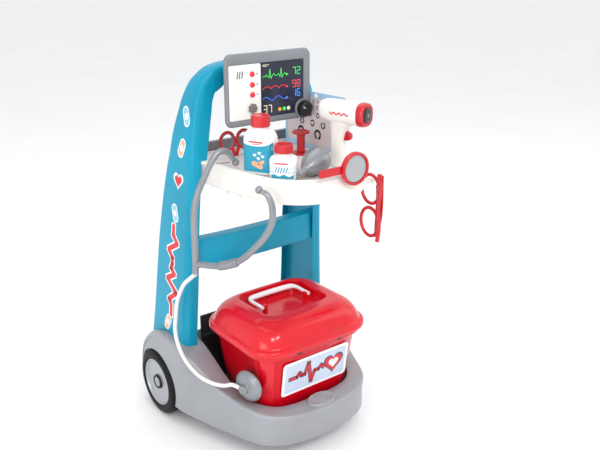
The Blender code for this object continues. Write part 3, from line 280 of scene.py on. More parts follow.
def lathe(profile, at, axis, steps=96):
    """Turned shape: every pair (radius, distance along the axis) becomes a circle round the axis."""
    profile = np.asarray(profile, float)
    axis = np.asarray(axis, float) / np.linalg.norm(axis)
    side = np.cross(axis, (0.0, 0.0, 1.0) if abs(axis[2]) < 0.9 else (1.0, 0.0, 0.0))
    side /= np.linalg.norm(side)
    t = np.linspace(0.0, 2.0 * np.pi, steps, endpoint=False)[None, :, None]
    ring = side * np.cos(t) + np.cross(axis, side) * np.sin(t)
    return np.asarray(at, float) + profile[:, 1, None, None] * axis + profile[:, 0, None, None] * ring


def carve(obj, rows, operation="DIFFERENCE", ring=False):
    """Cut a closed helper shape out of a piece, or join it on."""
    tool = skin("tool", rows, obj.data.materials[0], ring)
    mod = obj.modifiers.new("cut", "BOOLEAN")
    mod.object, mod.operation, mod.solver = tool, operation, "EXACT"
    bpy.context.view_layer.update()
    done = bpy.data.meshes.new_from_object(obj.evaluated_get(bpy.context.evaluated_depsgraph_get()))
    obj.modifiers.clear()
    obj.data = done
    bpy.data.objects.remove(tool, do_unlink=True)
    obj.data.shade_smooth()
    obj.data.set_sharp_from_angle(angle=math.radians(35.0))
    return obj


# ---------------------------------------------------------------- stethoscope tube
# Soft white hose, 6.4 mm across, from the yoke of the headset down along the left upright, over the rim
# of the base and into the hub of the chest piece.
chest_at = np.array((-0.1085, -0.2050, 0.1265))
chest_axis = np.array((-0.955, -0.250, -0.010))
chest_axis /= np.linalg.norm(chest_axis)
tube_in = np.array((-0.2532, 0.9674, 0.0))
tube_end = chest_at + chest_axis * 0.0106 + tube_in * 0.0075
tube_line = through([
    (-0.1582, -0.1448, 0.3095), (-0.1582, -0.1300, 0.2985), (-0.1582, -0.1060, 0.2780),
    (-0.1580, -0.0834, 0.2438), (-0.1578, -0.0745, 0.2130), (-0.1604, -0.0747, 0.1858),
    (-0.1602, -0.0840, 0.1615), (-0.1562, -0.0990, 0.1395), (-0.1497, -0.1240, 0.1240),
    (-0.1424, -0.1493, 0.1200), (-0.1340, -0.1725, 0.1222), tube_end + tube_in * 0.0160, tube_end,
], 6)
tube_length = float(np.linalg.norm(np.diff(tube_line, axis=0), axis=1).sum())
hose = moulded("soft_white_hose", ink(236, 234, 232), 0.42, 0.12, mottle=0.02, Subsurface_Weight=0.15,
               Subsurface_Scale=0.004)
tube = on(skin("hose", swept(tube_line, 0.0032, 24), hose), "stethoscope", "stethoscope_tube")


# ---------------------------------------------------------------- base shell
# The rolling base: one silver-grey injection moulding with a rolled rim, a deep well for the case and
# an arch over each wheel. A plain oval boss is moulded on the front rim.
base_grey = moulded("silver_grey_moulding", ink(152, 154, 159), 0.36, 0.30, mottle=0.035, marks=0.18,
                    Coat_Weight=0.12, Coat_Roughness=0.30, Metallic=0.12)
base_outer = [
    (0.0, -0.273), (0.030, -0.271), (0.058, -0.266), (0.084, -0.2555), (0.1045, -0.2375),
    (0.1175, -0.211), (0.1275, -0.180), (0.138, -0.150), (0.1466, -0.1195), (0.1565, -0.082),
    (0.160, -0.045), (0.160, 0.000), (0.160, 0.040), (0.156, 0.062), (0.146, 0.068),
    (0.100, 0.069), (0.040, 0.069),
]
base_inner = [
    (0.0, -0.2405), (0.026, -0.2400), (0.048, -0.2380), (0.069, -0.2320), (0.0845, -0.2200),
    (0.0945, -0.203), (0.1010, -0.180), (0.1052, -0.152), (0.1080, -0.122), (0.109, -0.088),
    (0.109, -0.060), (0.108, -0.047), (0.104, -0.041), (0.097, -0.039), (0.080, -0.0385),
    (0.050, -0.0385), (0.020, -0.0385),
]
rim_line = np.array([
    (-0.273, 0.0845), (-0.250, 0.0885), (-0.220, 0.0930), (-0.193, 0.0975), (-0.163, 0.1080),
    (-0.135, 0.1240), (-0.105, 0.1420), (-0.070, 0.1570), (-0.036, 0.160), (0.004, 0.156),
    (0.040, 0.126), (0.057, 0.094), (0.069, 0.062),
])


def both_sides(half):
    """Whole plan from its right half, front to rear and back again."""
    half = [tuple(p) for p in half]
    return half + [(-x, *rest) for x, *rest in half if x > 0.0][::-1]


def grown(plan, by):
    """Plan pushed out square to its own outline."""
    along = np.roll(plan, -1, 0) - np.roll(plan, 1, 0)
    along /= np.linalg.norm(along, axis=1)[:, None]
    return plan + np.stack((along[:, 1], -along[:, 0]), 1) * by


def level(plan, z):
    """Plan lifted to a height, or to a height for each of its points."""
    return np.column_stack((plan, np.broadcast_to(z, len(plan))))


rim_smooth = through(rim_line, 8)
outer = through(both_sides(base_outer), 6, closed=True)
inner = through(both_sides(base_inner), 6, closed=True)
rim = np.interp(outer[:, 1], rim_smooth[:, 0], rim_smooth[:, 1])
well_y = np.minimum(inner[:, 1], 0.0)
well = np.interp(well_y, rim_smooth[:, 0], rim_smooth[:, 1]) - np.interp(well_y, (-0.215, -0.185),
        (0.002, 0.006))
rows = [level(grown(outer, -0.004), 0.033), level(grown(outer, -0.0012), 0.0338), level(outer, 0.0365),
        level(outer, 0.060), level(grown(outer, 0.0002), rim - 0.0105), level(grown(outer, 0.0013),
                rim - 0.0098)]
for degrees in range(0, 91, 15):
    lean = math.radians(degrees)
    rows.append(level(grown(outer, 0.0015 - 0.0052 * (1.0 - math.cos(lean))),
                      rim - 0.0052 + 0.0052 * math.sin(lean)))
lip = 0.5 * (grown(outer, -0.0037) + inner)
rows.append(level(lip, 0.5 * (rim + well) + 0.0004))
rows += [level(grown(inner, 0.0022), well), level(grown(inner, 0.0006), well - 0.0006),
         level(inner, well - 0.0024),
         level(grown(inner, -0.0008), 0.052), level(grown(inner, -0.0018),
                                                    0.0455), level(grown(inner, -0.0038), 0.044)]
shell = skin("base", rows, base_grey)
for side in (-1.0, 1.0):
    carve(shell, lathe([(0.0602, 0.0), (0.0602, 0.06)], (side * 0.1275, 0.0, 0.058), (side, 0.0, 0.0)))
on(shell, "trolley", "base_shell")

t = np.linspace(0.0, 2.0 * np.pi, 96, endpoint=False)
boss_rows = []
for scale, z in ((1.0, -0.0050), (1.0, 0.0022), (0.985, 0.0032), (0.945, 0.0040), (0.90, 0.0042),
                 (0.86, 0.0037),
                 (0.30, 0.0037)):
    y = 0.0160 * scale * np.sin(t)
    boss_rows.append(np.column_stack((0.027 * scale * np.cos(t), -0.2545 + y,
                                      0.0850 + z + 0.06 * (y + 0.012))))
on(skin("front_boss", boss_rows, base_grey), "trolley", slot="base_shell")

# The dark panel that closes the back of the well, ribbed for stiffness, with its ledge for the case.
charcoal = moulded("charcoal_moulding", ink(48, 50, 55), 0.48, 0.4, mottle=0.10)
refinish("rear_panel", charcoal)

# Two soft black feet under the front.
foot_black = moulded("foot_rubber", ink(38, 38, 40), 0.75, 0.5, pits=500.0)
for side, name in ((-1.0, "foot_left"), (1.0, "foot_right")):
    foot = [(0.0120, 0.0), (0.0134, 0.0004), (0.0142, 0.0016), (0.0145, 0.0040), (0.0145, 0.0327)]
    on(skin(name + "_pad", lathe(foot, (side * 0.045, -0.166, 0.0), (0.0, 0.0, 1.0)), foot_black),
       "trolley", name)


# ---------------------------------------------------------------- wheels
# Hard black tyre ring pressed on a silver-painted disc; a black cap with a slot covers the axle end.
tyre_black = moulded("tyre_black", ink(12, 12, 14), 0.50, 0.30, pits=420.0, mottle=0.10, marks=0.15,
                     Specular_IOR_Level=0.2)
disc_silver = moulded("silver_paint", ink(170, 172, 177), 0.34, 0.35, pits=1500.0, mottle=0.03, marks=0.25,
                      Metallic=0.55, Coat_Weight=0.2, Coat_Roughness=0.2)
cap_black = moulded("cap_black", ink(22, 22, 24), 0.30, 0.2, mottle=0.1)
axle_steel = moulded("axle_steel", ink(190, 190, 192), 0.25, 0.3, Metallic=1.0)
refinish("wheel_axle", axle_steel)
for side, name in ((-1.0, "left"), (1.0, "right")):
    hub = (side * 0.131, 0.0, 0.058)
    out = (side, 0.0, 0.0)
    tread = through([(0.0428, 0.0012), (0.0520, 0.0010), (0.0557, 0.0028), (0.0575, 0.0064),
                     (0.0580, 0.0100)], 5)
    grooves = []
    for k in range(5):
        z = 0.0118 + 0.0026 * k
        grooves += [(0.0580, z), (0.0574, z + 0.0002), (0.0574, z + 0.0006), (0.0580, z + 0.0008)]
    face = through([(0.0580, 0.0240), (0.0575, 0.0278), (0.0560, 0.0306), (0.0525, 0.0326),
                    (0.0490, 0.0334), (0.0460, 0.0338), (0.0437, 0.0332),
                    (0.0426, 0.0318)], 5)
    tyre = skin(name + "_wheel_tyre", lathe(np.concatenate((tread, grooves, face)), hub, out, 128),
                tyre_black, ring=True)
    on(tyre, name + "_wheel", name + "_tyre")
    profile = [(0.0043, 0.0040), (0.0100, 0.0040), (0.0104, 0.0044), (0.0120, 0.0138), (0.0126, 0.0142),
               (0.0358, 0.0158), (0.0364, 0.0154), (0.0415, 0.0040), (0.0421, 0.0036), (0.0421, 0.0312),
               (0.0415, 0.0322), (0.0406, 0.0327), (0.0394, 0.0326), (0.0386, 0.0318), (0.0378, 0.0300),
               (0.0370, 0.0294), (0.0340, 0.0290), (0.0240, 0.0288), (0.0150, 0.0288), (0.0122, 0.0286),
               (0.0112, 0.0278), (0.0107, 0.0266), (0.0100, 0.0264),
               (0.0043, 0.0264)]
    on(skin(name + "_disc", lathe(profile, hub, out, 128), disc_silver, ring=True), name + "_wheel",
       name + "_wheel_disc")
    dome = [(0.0124, 0.0289), (0.0127, 0.0297), (0.0127, 0.0311), (0.0122, 0.0321), (0.0113, 0.0325),
            (0.0104, 0.0322), (0.0097, 0.0312), (0.0092, 0.0302), (0.0040, 0.0301),
            (0.0008, 0.0301)]
    boss = [(0.0090, 0.0300), (0.0089, 0.0309), (0.0084, 0.0315), (0.0060, 0.0318), (0.0008, 0.0319)]
    boss = skin(name + "_boss", lathe(boss, hub, out, 64), disc_silver)
    cap = skin(name + "_cap", lathe(dome, hub, out, 64), cap_black)
    slot_box = np.array([[(side * x, y, z) for y, z in ((-0.0052, 0.0573), (0.0052, 0.0573),
                                                        (0.0052, 0.0587), (-0.0052, 0.0587))]
                         for x in (0.1612, 0.1640)])
    carve(boss, slot_box)
    on(boss, name + "_wheel", slot=name + "_hub_cap")
    on(cap, name + "_wheel", name + "_hub_cap")


# ---------------------------------------------------------------- uprights, grip and brace
# Teal channels, open on the inner side, moulded in three parts: two uprights and the arched grip
# between them. A bowed strip braces the uprights above the case.
teal = moulded("teal_moulding", ink(0, 150, 182), 0.34, 0.16, mottle=0.05, marks=0.06,
               Specular_IOR_Level=0.25, Coat_Weight=0.10,
               Coat_Roughness=0.18, Subsurface_Weight=0.06, Subsurface_Scale=0.003)
rail_stations = [
    (0.131, 0.1482, -0.0768, 0.0370, 0.0245), (0.201, 0.1441, -0.0797, 0.0265, 0.0240),
    (0.259, 0.1406, -0.0825, 0.0195, 0.0235), (0.323, 0.1368, -0.0862, 0.0110, 0.0215),
    (0.388, 0.1329, -0.0920, -0.0015, 0.0190), (0.440, 0.1297, -0.0960, -0.0145, 0.0185),
    (0.4690, 0.1274, -0.0957, -0.0235, 0.0185), (0.4705, 0.1272, -0.0957, -0.0240, 0.0275),
    (0.505, 0.1228, -0.0935, -0.0305, 0.0300), (0.546, 0.1150, -0.0920, -0.0415, 0.0295),
    (0.5646, 0.1102, -0.0905, -0.0465, 0.0290), (0.5828, 0.1025, -0.0890, -0.0520, 0.0300),
    (0.5935, 0.0935, -0.0890, -0.0555, 0.0320), (0.6018, 0.0825, -0.0890, -0.0570, 0.0330),
    (0.6062, 0.0720, -0.0890, -0.0575, 0.0320), (0.6097, 0.0550, -0.0890, -0.0580, 0.0250),
    (0.6118, 0.0300, -0.0890, -0.0585, 0.0235), (0.6125, 0.0, -0.0890, -0.0585, 0.0235),
]
step_at, seam_at, fine = 7, 13, 6
other_half = (1.0, -1.0, 1.0, 1.0, 1.0)
arch_low = through(np.array(rail_stations[:step_at]), fine)
arch_high = np.array(rail_stations[step_at:])
arch_high = through(np.concatenate((arch_high, arch_high[-2::-1] * other_half)), fine)
arch = np.concatenate((arch_low, arch_high, arch_low[::-1] * other_half))
arch_ahead = np.gradient(arch[:, [1, 0]], axis=0)
arch_ahead /= np.linalg.norm(arch_ahead, axis=1)[:, None]


def eased(corners, radius, steps=4):
    """Closed outline with each corner replaced by a parabola between points a radius away."""
    corners = np.asarray(corners, float)
    before, after = np.roll(corners, 1, 0) - corners, np.roll(corners, -1, 0) - corners
    lengths = np.stack((np.linalg.norm(before, axis=1), np.linalg.norm(after, axis=1)))
    reach = np.minimum(radius, lengths.min(0) * 0.45)[:, None]
    start = corners + before / lengths[0][:, None] * reach
    stop = corners + after / lengths[1][:, None] * reach
    t = np.linspace(0.0, 1.0, steps)[None, :, None]
    rounded = (1 - t) ** 2 * start[:, None] + 2 * t * (1 - t) * corners[:, None] + t**2 * stop[:, None]
    return rounded.reshape(-1, 2)


def channel(station, ahead):
    """Channel section at one station: a flat side with a broad round front corner and two webs turned in."""
    z, x, front, back, web = station
    deep, wall = back - front, 0.0025
    outline = [(0.0, web), (0.0, 0.010), (0.0022, 0.0036), (0.0085, 0.0), (deep - 0.006, 0.0),
               (deep - 0.0012, 0.0016), (deep, 0.006), (deep, 0.016), (deep - wall, 0.016),
               (deep - wall, 0.0055), (deep - 0.0055, wall), (0.0092, wall), (0.0045, 0.0055),
               (wall, 0.0105), (wall, web)]
    flat = eased(outline, 0.0022)
    inward = np.array((-ahead[1], 0.0, ahead[0]))
    return np.array((x, front, z)) + flat[:, :1] * (0.0, 1.0, 0.0) + flat[:, 1:] * inward


loops = np.array([channel(s, a) for s, a in zip(arch, arch_ahead)])
first_seam = len(arch_low) + (seam_at - step_at) * fine
last_seam = len(arch) - 1 - first_seam
on(skin("right_upright", loops[:first_seam + 1], teal), "trolley", "rail_right")
on(skin("grip_arch", loops[first_seam:last_seam + 1], teal), "trolley", "top_handle")
on(skin("left_upright", loops[last_seam:], teal), "trolley", "rail_left")

brace_rows = []
for share in np.linspace(-1.0, 1.0, 41):
    y = -0.0785 - 0.007 * (1.0 - share * share)
    low, high, deep, wall = 0.2865, 0.3345, 0.022, 0.0028
    strip = eased([(0.0, low), (deep, low), (deep, low + wall), (wall, low + wall), (wall, high - wall),
                   (deep, high - wall), (deep, high), (0.0, high)], 0.0024)
    brace_rows.append(np.column_stack((np.full(len(strip), 0.1318 * share), y + strip[:, 0], strip[:, 1])))
on(skin("brace_strip", brace_rows, teal), "trolley", "cross_brace")


# ---------------------------------------------------------------- prints on the left upright
# Thin glossy stickers rubbed down on the flat side of the left upright: a red pulse line edged in
# white, plasters and a heart. Each is a slab a tenth of a millimetre thick.
sticker_white = moulded("sticker_white", ink(240, 240, 238), 0.30, 0.05, mottle=0.02)
sticker_red = moulded("sticker_red", ink(214, 24, 40), 0.28, 0.05, mottle=0.03)
sticker_blue = moulded("sticker_blue", ink(140, 200, 226), 0.32, 0.10, mottle=0.03)
sticker_peach = moulded("sticker_peach", ink(240, 172, 132), 0.32, 0.10, mottle=0.03)
sticker_dark = moulded("sticker_dark", ink(20, 74, 92), 0.30, 0.05, mottle=0.03)


def stroke(line, width):
    """Outline of a drawn line: its points moved half a width to either side, square to the line."""
    line = np.asarray(line, float)
    ahead = np.gradient(line, axis=0)
    ahead /= np.linalg.norm(ahead, axis=1)[:, None]
    square = np.stack((-ahead[:, 1], ahead[:, 0]), 1) * width / 2.0
    return np.concatenate((line + square, (line - square)[::-1]))


def drawn(line, width):
    """A bent line as one bar per step, each run on by a third of its width so that the bends close."""
    line = np.asarray(line, float)
    ahead = np.diff(line, axis=0)
    ahead *= width * 0.34 / np.linalg.norm(ahead, axis=1)[:, None]
    return [stroke((a - run, b + run), width) for a, b, run in zip(line[:-1], line[1:], ahead)]


def strips(u0, u1, low, high, many=26):
    """Upright bars side by side between two curves low(u) and high(u), so that a print can follow a bend."""
    u = np.linspace(u0, u1, many + 1)
    return [np.array(((a, low(a)), (b, low(b)), (b, high(b)), (a, high(a)))) for a, b in zip(u[:-1], u[1:])]


def pill(u, v, long, wide, lean=0.0, steps=10):
    """Outline with two straight sides and round ends, turned by lean about its middle."""
    t = np.linspace(-np.pi / 2, np.pi / 2, steps)
    half = np.stack((long / 2 - wide / 2 + wide / 2 * np.cos(t), wide / 2 * np.sin(t)), 1)
    outline = np.concatenate((half, -half))
    c, s = math.cos(lean), math.sin(lean)
    return outline @ np.array(((c, s), (-s, c))) + (u, v)


def heart(u, v, size, steps=48):
    """Heart outline: x = 16 sin^3 t, y = 13 cos t - 5 cos 2t - 2 cos 3t - cos 4t, scaled."""
    t = np.linspace(0.0, 2.0 * np.pi, steps, endpoint=False)
    x = 16 * np.sin(t) ** 3
    y = 13 * np.cos(t) - 5 * np.cos(2 * t) - 2 * np.cos(3 * t) - np.cos(4 * t)
    return np.stack((u + x * size / 32, v + (y + 2) * size / 32), 1)


def printed(name, outlines, where, material, body, slot, thick=0.00012, low=-0.0001):
    """Printed mark: each flat outline becomes a slab; where(u, v, height) gives the place of its points."""
    points, faces, count = [], [], 0
    for outline in outlines:
        outline = np.asarray(outline, float)
        nxt = np.roll(outline, -1, 0)
        if (outline[:, 0] * nxt[:, 1] - outline[:, 1] * nxt[:, 0]).sum() < 0.0:
            outline = outline[::-1]
        n = len(outline)
        points += [where(outline[:, 0], outline[:, 1], low), where(outline[:, 0], outline[:, 1], thick)]
        under, over = np.arange(n) + count, np.arange(n) + count + n
        faces += list(np.stack((under, np.roll(under, -1), np.roll(over, -1), over),
                               1)) + [under[::-1], over]
        count += 2 * n
    return on(to_mesh(name, np.concatenate(points) + DESIGN_TO_FLOOR, faces, material), body, slot=slot)


def lifted(where, by):
    """The same place rule with the print raised by a further height, so that prints lie on each other."""
    return lambda u, v, height: where(u, v, height + by)


rail_z = [s[0] for s in rail_stations]
rail_out = [s[1] for s in rail_stations]
rail_front = [s[2] for s in rail_stations]


def on_rail(u, v, height):
    """u across the upright from its front corner, v up it, height outwards."""
    z = np.broadcast_to(v, np.shape(u)).astype(float)
    x = np.interp(z, rail_z[:14], rail_out[:14])
    return np.stack((-x - height, np.interp(z, rail_z[:14], rail_front[:14]) + u, z), -1)


pulse = np.array([(0.0, 0.0), (0.0, 0.018), (0.008, 0.026), (-0.015, 0.044), (0.015, 0.062),
                  (-0.008, 0.075), (0.004, 0.083), (0.0, 0.092), (0.0, 0.102), (0.013, 0.114),
                  (-0.014, 0.130), (0.0, 0.142),
                  (0.0, 0.158)])
pulse = pulse + (0.046, 0.196)
printed("pulse_edge", drawn(pulse, 0.0140), lifted(on_rail, 0.0002), sticker_white, "trolley", "rail_left")
printed("pulse_line", drawn(pulse, 0.0088), lifted(on_rail, 0.0004), sticker_red, "trolley", "rail_left")
for k, (u, v, tint, lean) in enumerate(((0.0225, 0.5330, sticker_blue, 1.15),
                                        (0.0300, 0.4840, sticker_peach, 2.0),
                                        (0.0440, 0.3760, sticker_blue, 1.2),
                                        (0.0560, 0.1790, sticker_peach, 2.0))):
    for part, long, wide, paint, lift in (("edge", 0.0320, 0.0170, sticker_white, 0.0002),
                                          ("tint", 0.0272, 0.0122, tint, 0.0003),
                                          ("pad", 0.0110, 0.0090, sticker_white, 0.0004)):
        printed(f"plaster_{part}_{k}", [pill(u, v, long, wide, lean)], lifted(on_rail, lift),
                paint, "trolley", "rail_left")
printed("heart_edge", [heart(0.0380, 0.4300, 0.0300)], lifted(on_rail, 0.0002), sticker_white,
        "trolley", "rail_left")
printed("heart_mark", [heart(0.0380, 0.4300, 0.0215)], lifted(on_rail, 0.0003), sticker_red,
        "trolley", "rail_left")


# ---------------------------------------------------------------- tray
# Deep-skirted white tray, one moulding with the hooks under its sides; the silver-grey crosspiece
# behind it ties the two uprights together.
tray_white = moulded("tray_white", ink(232, 228, 222), 0.38, 0.22, mottle=0.025, marks=0.12,
                     Subsurface_Weight=0.10,
                     Subsurface_Scale=0.004)
tray_half = [
    (0.0, -0.290), (0.022, -0.2885), (0.042, -0.2825), (0.060, -0.272), (0.075, -0.2565),
    (0.086, -0.236), (0.092, -0.212), (0.0965, -0.185), (0.1015, -0.155), (0.1055, -0.125),
    (0.1062, -0.1035), (0.1076, -0.0985), (0.1078, -0.0922), (0.1225, -0.0905), (0.1235, -0.070),
    (0.1235, -0.050), (0.115, -0.044), (0.060, -0.043),
]
tray_plan = through(both_sides(tray_half), 5, closed=True)


def tray_ring(by, z):
    """Tray outline moved out from a point near its middle; the ears at the back only move in."""
    toward = tray_plan - (0.0, -0.14)
    toward = toward / np.linalg.norm(toward, axis=1)[:, None]
    step = np.where((tray_plan[:, 1] < -0.0995) | (by < 0.0), by, 0.0)[:, None]
    return level(tray_plan + toward * step, z)


tray_rows = [tray_ring(*at) for at in (
    (-0.0500, 0.446), (-0.0095, 0.446), (-0.0082, 0.4452), (-0.0040, 0.4360), (-0.0030, 0.4328),
    (-0.0018, 0.4320),
    (-0.0004, 0.4320), (0.0012, 0.4326), (0.0022, 0.4342), (0.0024, 0.4370), (0.0018, 0.4440),
    (0.0012, 0.4530),
    (0.0006, 0.4560), (-0.0006, 0.4580), (-0.0018, 0.4605), (-0.0028, 0.4635), (-0.0044, 0.4658),
    (-0.0062, 0.4669),
    (-0.0080, 0.4670), (-0.0093, 0.4664), (-0.0102, 0.4650), (-0.0116, 0.4626), (-0.0130, 0.4620),
    (-0.0500, 0.4620))]
tray = skin("tray_moulding", tray_rows, tray_white)
carve(tray, lathe([(0.0095, -0.05), (0.0095, 0.05)], (0.051, -0.135, 0.462), (0, 0, 1), 64))
sx, sy = -0.036, -0.078
slot_corners = [(sx + a * 0.0145, sy + b * 0.006) for a, b in ((-1, -1), (1, -1), (1, 1), (-1, 1))]
carve(tray, [[(x, y, z) for x, y in slot_corners] for z in (0.42, 0.49)])
for sign, px, py in ((-1.0, 0.0870, -0.1420), (-1.0, 0.0830, -0.1660), (1.0, 0.0900, -0.2080)):
    top = np.array((sign * px, py, 0.450))
    bend = [(0, 0, 0), (0.001, -0.001, -0.008), (0.006, -0.003, -0.0175), (0.014, -0.008, -0.0210),
            (0.034, -0.020, -0.0250)]
    bend = bend[:4] if sign < 0.0 else bend
    prong = through([top + np.array((sign * a, b, c)) for a, b, c in bend], 6)
    thick = resample([0.0050, 0.0046, 0.0042, 0.0036, 0.0032][:len(bend)], len(prong))
    carve(tray, swept(prong, thick, 20), "UNION")
on(tray, "trolley", "tray")
bar_silver = moulded("bar_silver", ink(150, 152, 156), 0.36, 0.25, mottle=0.04, Metallic=0.3)
bar = eased([(-0.0425, 0.452), (-0.0335, 0.452), (-0.0335, 0.4805), (-0.0425, 0.4805)], 0.0022, 6)
bar_rows = [np.column_stack((np.full(len(bar), x), bar)) for x in np.linspace(-0.1205, 0.1205, 9)]
on(skin("rear_bar", bar_rows, bar_silver), "trolley", "tray_bar")


# ---------------------------------------------------------------- monitor
# Grey housing screwed to the grip, with a raised bevel round a white control panel and a printed dark
# screen. Three sprung red buttons, a flower-shaped selector and a large fluted dial in a silver ring
# work on its front.
housing_grey = moulded("housing_grey", ink(126, 129, 134), 0.40, 0.30, mottle=0.04, marks=0.15)
panel_white = moulded("panel_white", ink(236, 235, 232), 0.34, 0.15, mottle=0.02)
front, back = -0.124, -0.0935


def upright_ring(x0, x1, z0, z1, radius, y, steps=9):
    """Rounded rectangle standing in the XZ plane."""
    t = np.linspace(0.0, np.pi / 2, steps)
    arcs = []
    for cx, cz, start in ((x1 - radius, z0 + radius, -np.pi / 2), (x1 - radius, z1 - radius, 0.0),
                          (x0 + radius, z1 - radius, np.pi / 2), (x0 + radius, z0 + radius, np.pi)):
        arcs.append(np.stack((cx + radius * np.cos(t + start), cz + radius * np.sin(t + start)), 1))
    flat = np.concatenate(arcs)
    return np.column_stack((flat[:, 0], np.broadcast_to(y, len(flat)), flat[:, 1]))


def housing_ring(inset, y):
    return upright_ring(-0.0795 + inset, 0.0795 - inset, 0.517 + inset * 0.75, 0.6265 - inset * 0.75,
                        0.011 - inset * 0.3, y)


rows = [housing_ring(i, y) for i, y in ((0.0215, back), (0.0200, back - 0.0004),
                                        (0.0184, back - 0.0014), (0.0160, back - 0.0044),
        (0.0012, front + 0.0082), (0.0003, front + 0.0066), (0.0, front + 0.0050), (0.0003, front + 0.0032),
        (0.0012, front + 0.0014), (0.0024, front + 0.0004), (0.0036, front))]
rows += [upright_ring(-0.0748 - g, 0.0652 + g, 0.5270 - g, 0.6105 + g, 0.0012 + g, front + y)
         for g, y in ((0.0010, 0.0001), (0.0003, 0.0004), (0.0, 0.0010), (0.0, 0.0040))]
on(skin("housing", rows, housing_grey, sharp=30.0), "trolley", "monitor_housing")
rows = [upright_ring(-0.0744 + g, -0.0172 - g, 0.5274 + g, 0.6101 - g, 0.0022, front + y)
        for g, y in ((0.0, 0.0038), (0.0, 0.0004), (0.0003, -0.0002), (0.0010, -0.0006), (0.0026, -0.0009))]
on(skin("control_panel", rows, panel_white), "trolley", "monitor_panel")
screen_dark = Finish("screen_print", Roughness=0.22, Coat_Weight=0.4, Coat_Roughness=0.08)
along, _, upward = screen_dark.axes()
grid = 240.0
grid_u = abs((along * grid).sum("FRACT", along * grid) - 0.5) > 0.465
grid_v = abs((upward * grid).sum("FRACT", upward * grid) - 0.5) > 0.465
glow = screen_dark.ramp(screen_dark.noise(22.0, 3.0), (0.3, 0.0), (0.7, 1.0))
navy = screen_dark.mix(glow, ink(9, 12, 34), ink(16, 22, 52))
screen_dark.feed("Base Color", screen_dark.mix((grid_u + grid_v) * 0.22, navy, ink(52, 74, 120)))
screen_dark.bump(screen_dark.noise(700.0), 0.05, 0.0002)
rows = [upright_ring(-0.0169 + g, 0.0648 - g, 0.5274 + g, 0.6101 - g, 0.0010, front + y) for g,
        y in ((0.0, 0.0038), (0.0, 0.0010), (0.0002, 0.0008))]
on(skin("screen_plate", rows, screen_dark.material), "trolley", "monitor_screen")


def glowing_print_ink(name, colour, glow=0.25):
    """Screen print in a bright ink given a faint emission: painted glow, so the print shines a little though
    the printed screen gives no light of its own.
    """
    made = Finish(name, Roughness=0.3, Emission_Strength=glow)
    tone = made.mix(made.noise(120.0), colour, tuple(min(1.0, c * 1.15) for c in colour[:3]) + (1.0,))
    made.feed("Base Color", tone)
    made.feed("Emission Color", tone)
    return made.material


def on_screen(u, v, height):
    return np.stack((np.asarray(u, float), np.full(np.shape(u), front + 0.0008) - height,
                     np.asarray(v, float)), -1)


def digit(code, u, v, wide, tall, bold=0.0011):
    """Number drawn with up to seven bars: code names the bars that are on."""
    bars = {"a": ((0, 1), (1, 1)), "b": ((1, 1), (1, .5)), "c": ((1, .5), (1, 0)), "d": ((0, 0), (1, 0)),
            "e": ((0, 0), (0, .5)), "f": ((0, .5), (0, 1)), "g": ((0, .5), (1, .5))}
    return [stroke([(u + p * wide, v + q * tall) for p, q in bars[bar]], bold) for bar in code]


numbers = {"0": "abcdef", "1": "bc", "2": "abged", "3": "abgcd", "6": "afgedc", "7": "abc",
           "8": "abcdefg", "9": "abcdfg"}
# Painted glow: the traces, figures and icons of the printed screen shine by a faint emission.
green, crimson, sky = glowing_print_ink("trace_green", ink(70, 220, 90)), glowing_print_ink("trace_red",
        ink(240, 60, 60)), glowing_print_ink("trace_blue", ink(80, 150, 250))
cream, amber = glowing_print_ink("icon_cream", ink(238, 226, 190), 0.15), glowing_print_ink("icon_amber", ink(246, 160, 50), 0.15)
beat = np.array([(0, 0), (.10, 0), (.14, .25), (.18, 0), (.22, 0), (.25, -.25), (.29, 1), (.33, -.4),
                 (.37, 0), (.45, .3), (.52, 0), (.60, 0), (.64, .25), (.68, 0), (.71, -.25), (.75, 1),
                 (.79, -.4), (.83, 0), (.90, .25),
                 (.96, 0)])
swell = np.stack((np.linspace(0, 0.96, 40), 0.5 * np.abs(np.sin(np.linspace(0, 9.2, 40))) ** 0.7), 1)
breath = np.stack((np.linspace(0, 0.96, 40), 0.5 * np.sin(np.linspace(0, 12.0, 40))), 1)
for name, wave, v, tall, tint, text in (("green", beat, 0.5890, 0.0110, green, "72"),
                                        ("red", swell, 0.5690, 0.0090, crimson, "98"),
                                        ("blue", breath, 0.5545, 0.0060, sky, "16")):
    line = wave * (0.046, tall) + (-0.0130, v)
    tip = line[-1] + np.array([(0.0, 0.0022), (0.0042, 0.0), (0.0, -0.0022)])
    marks = drawn(line, 0.0009) + [tip]
    for k, figure in enumerate(text):
        marks += digit(numbers[figure], 0.0440 + 0.0085 * k, v - 0.0010, 0.0056, 0.0105)
    printed(f"{name}_trace", marks, on_screen, tint, "trolley", "monitor_screen")
marks = digit(numbers["3"], -0.0120, 0.5330, 0.0058, 0.0115) + digit(numbers["7"], -0.0030, 0.5330,
        0.0058, 0.0115)
marks += [stroke([(-0.0130, v), (-0.0130 + w, v)], 0.0007) for v, w in ((0.6065, 0.012), (0.6045, 0.008))]
printed("white_figures", marks, on_screen, cream, "trolley", "monitor_screen")
for k, tint in enumerate((amber, green, cream)):
    printed(f"icon_{k}", [pill(0.0185 + 0.0085 * k, 0.5362, 0.0062, 0.0062)], on_screen, tint,
            "trolley", "monitor_screen")
dark_ink = moulded("dark_ink", ink(24, 24, 27), 0.45, 0.1, mottle=0.1)


def on_panel(u, v, height):
    return on_screen(u, v, height + 0.0018)
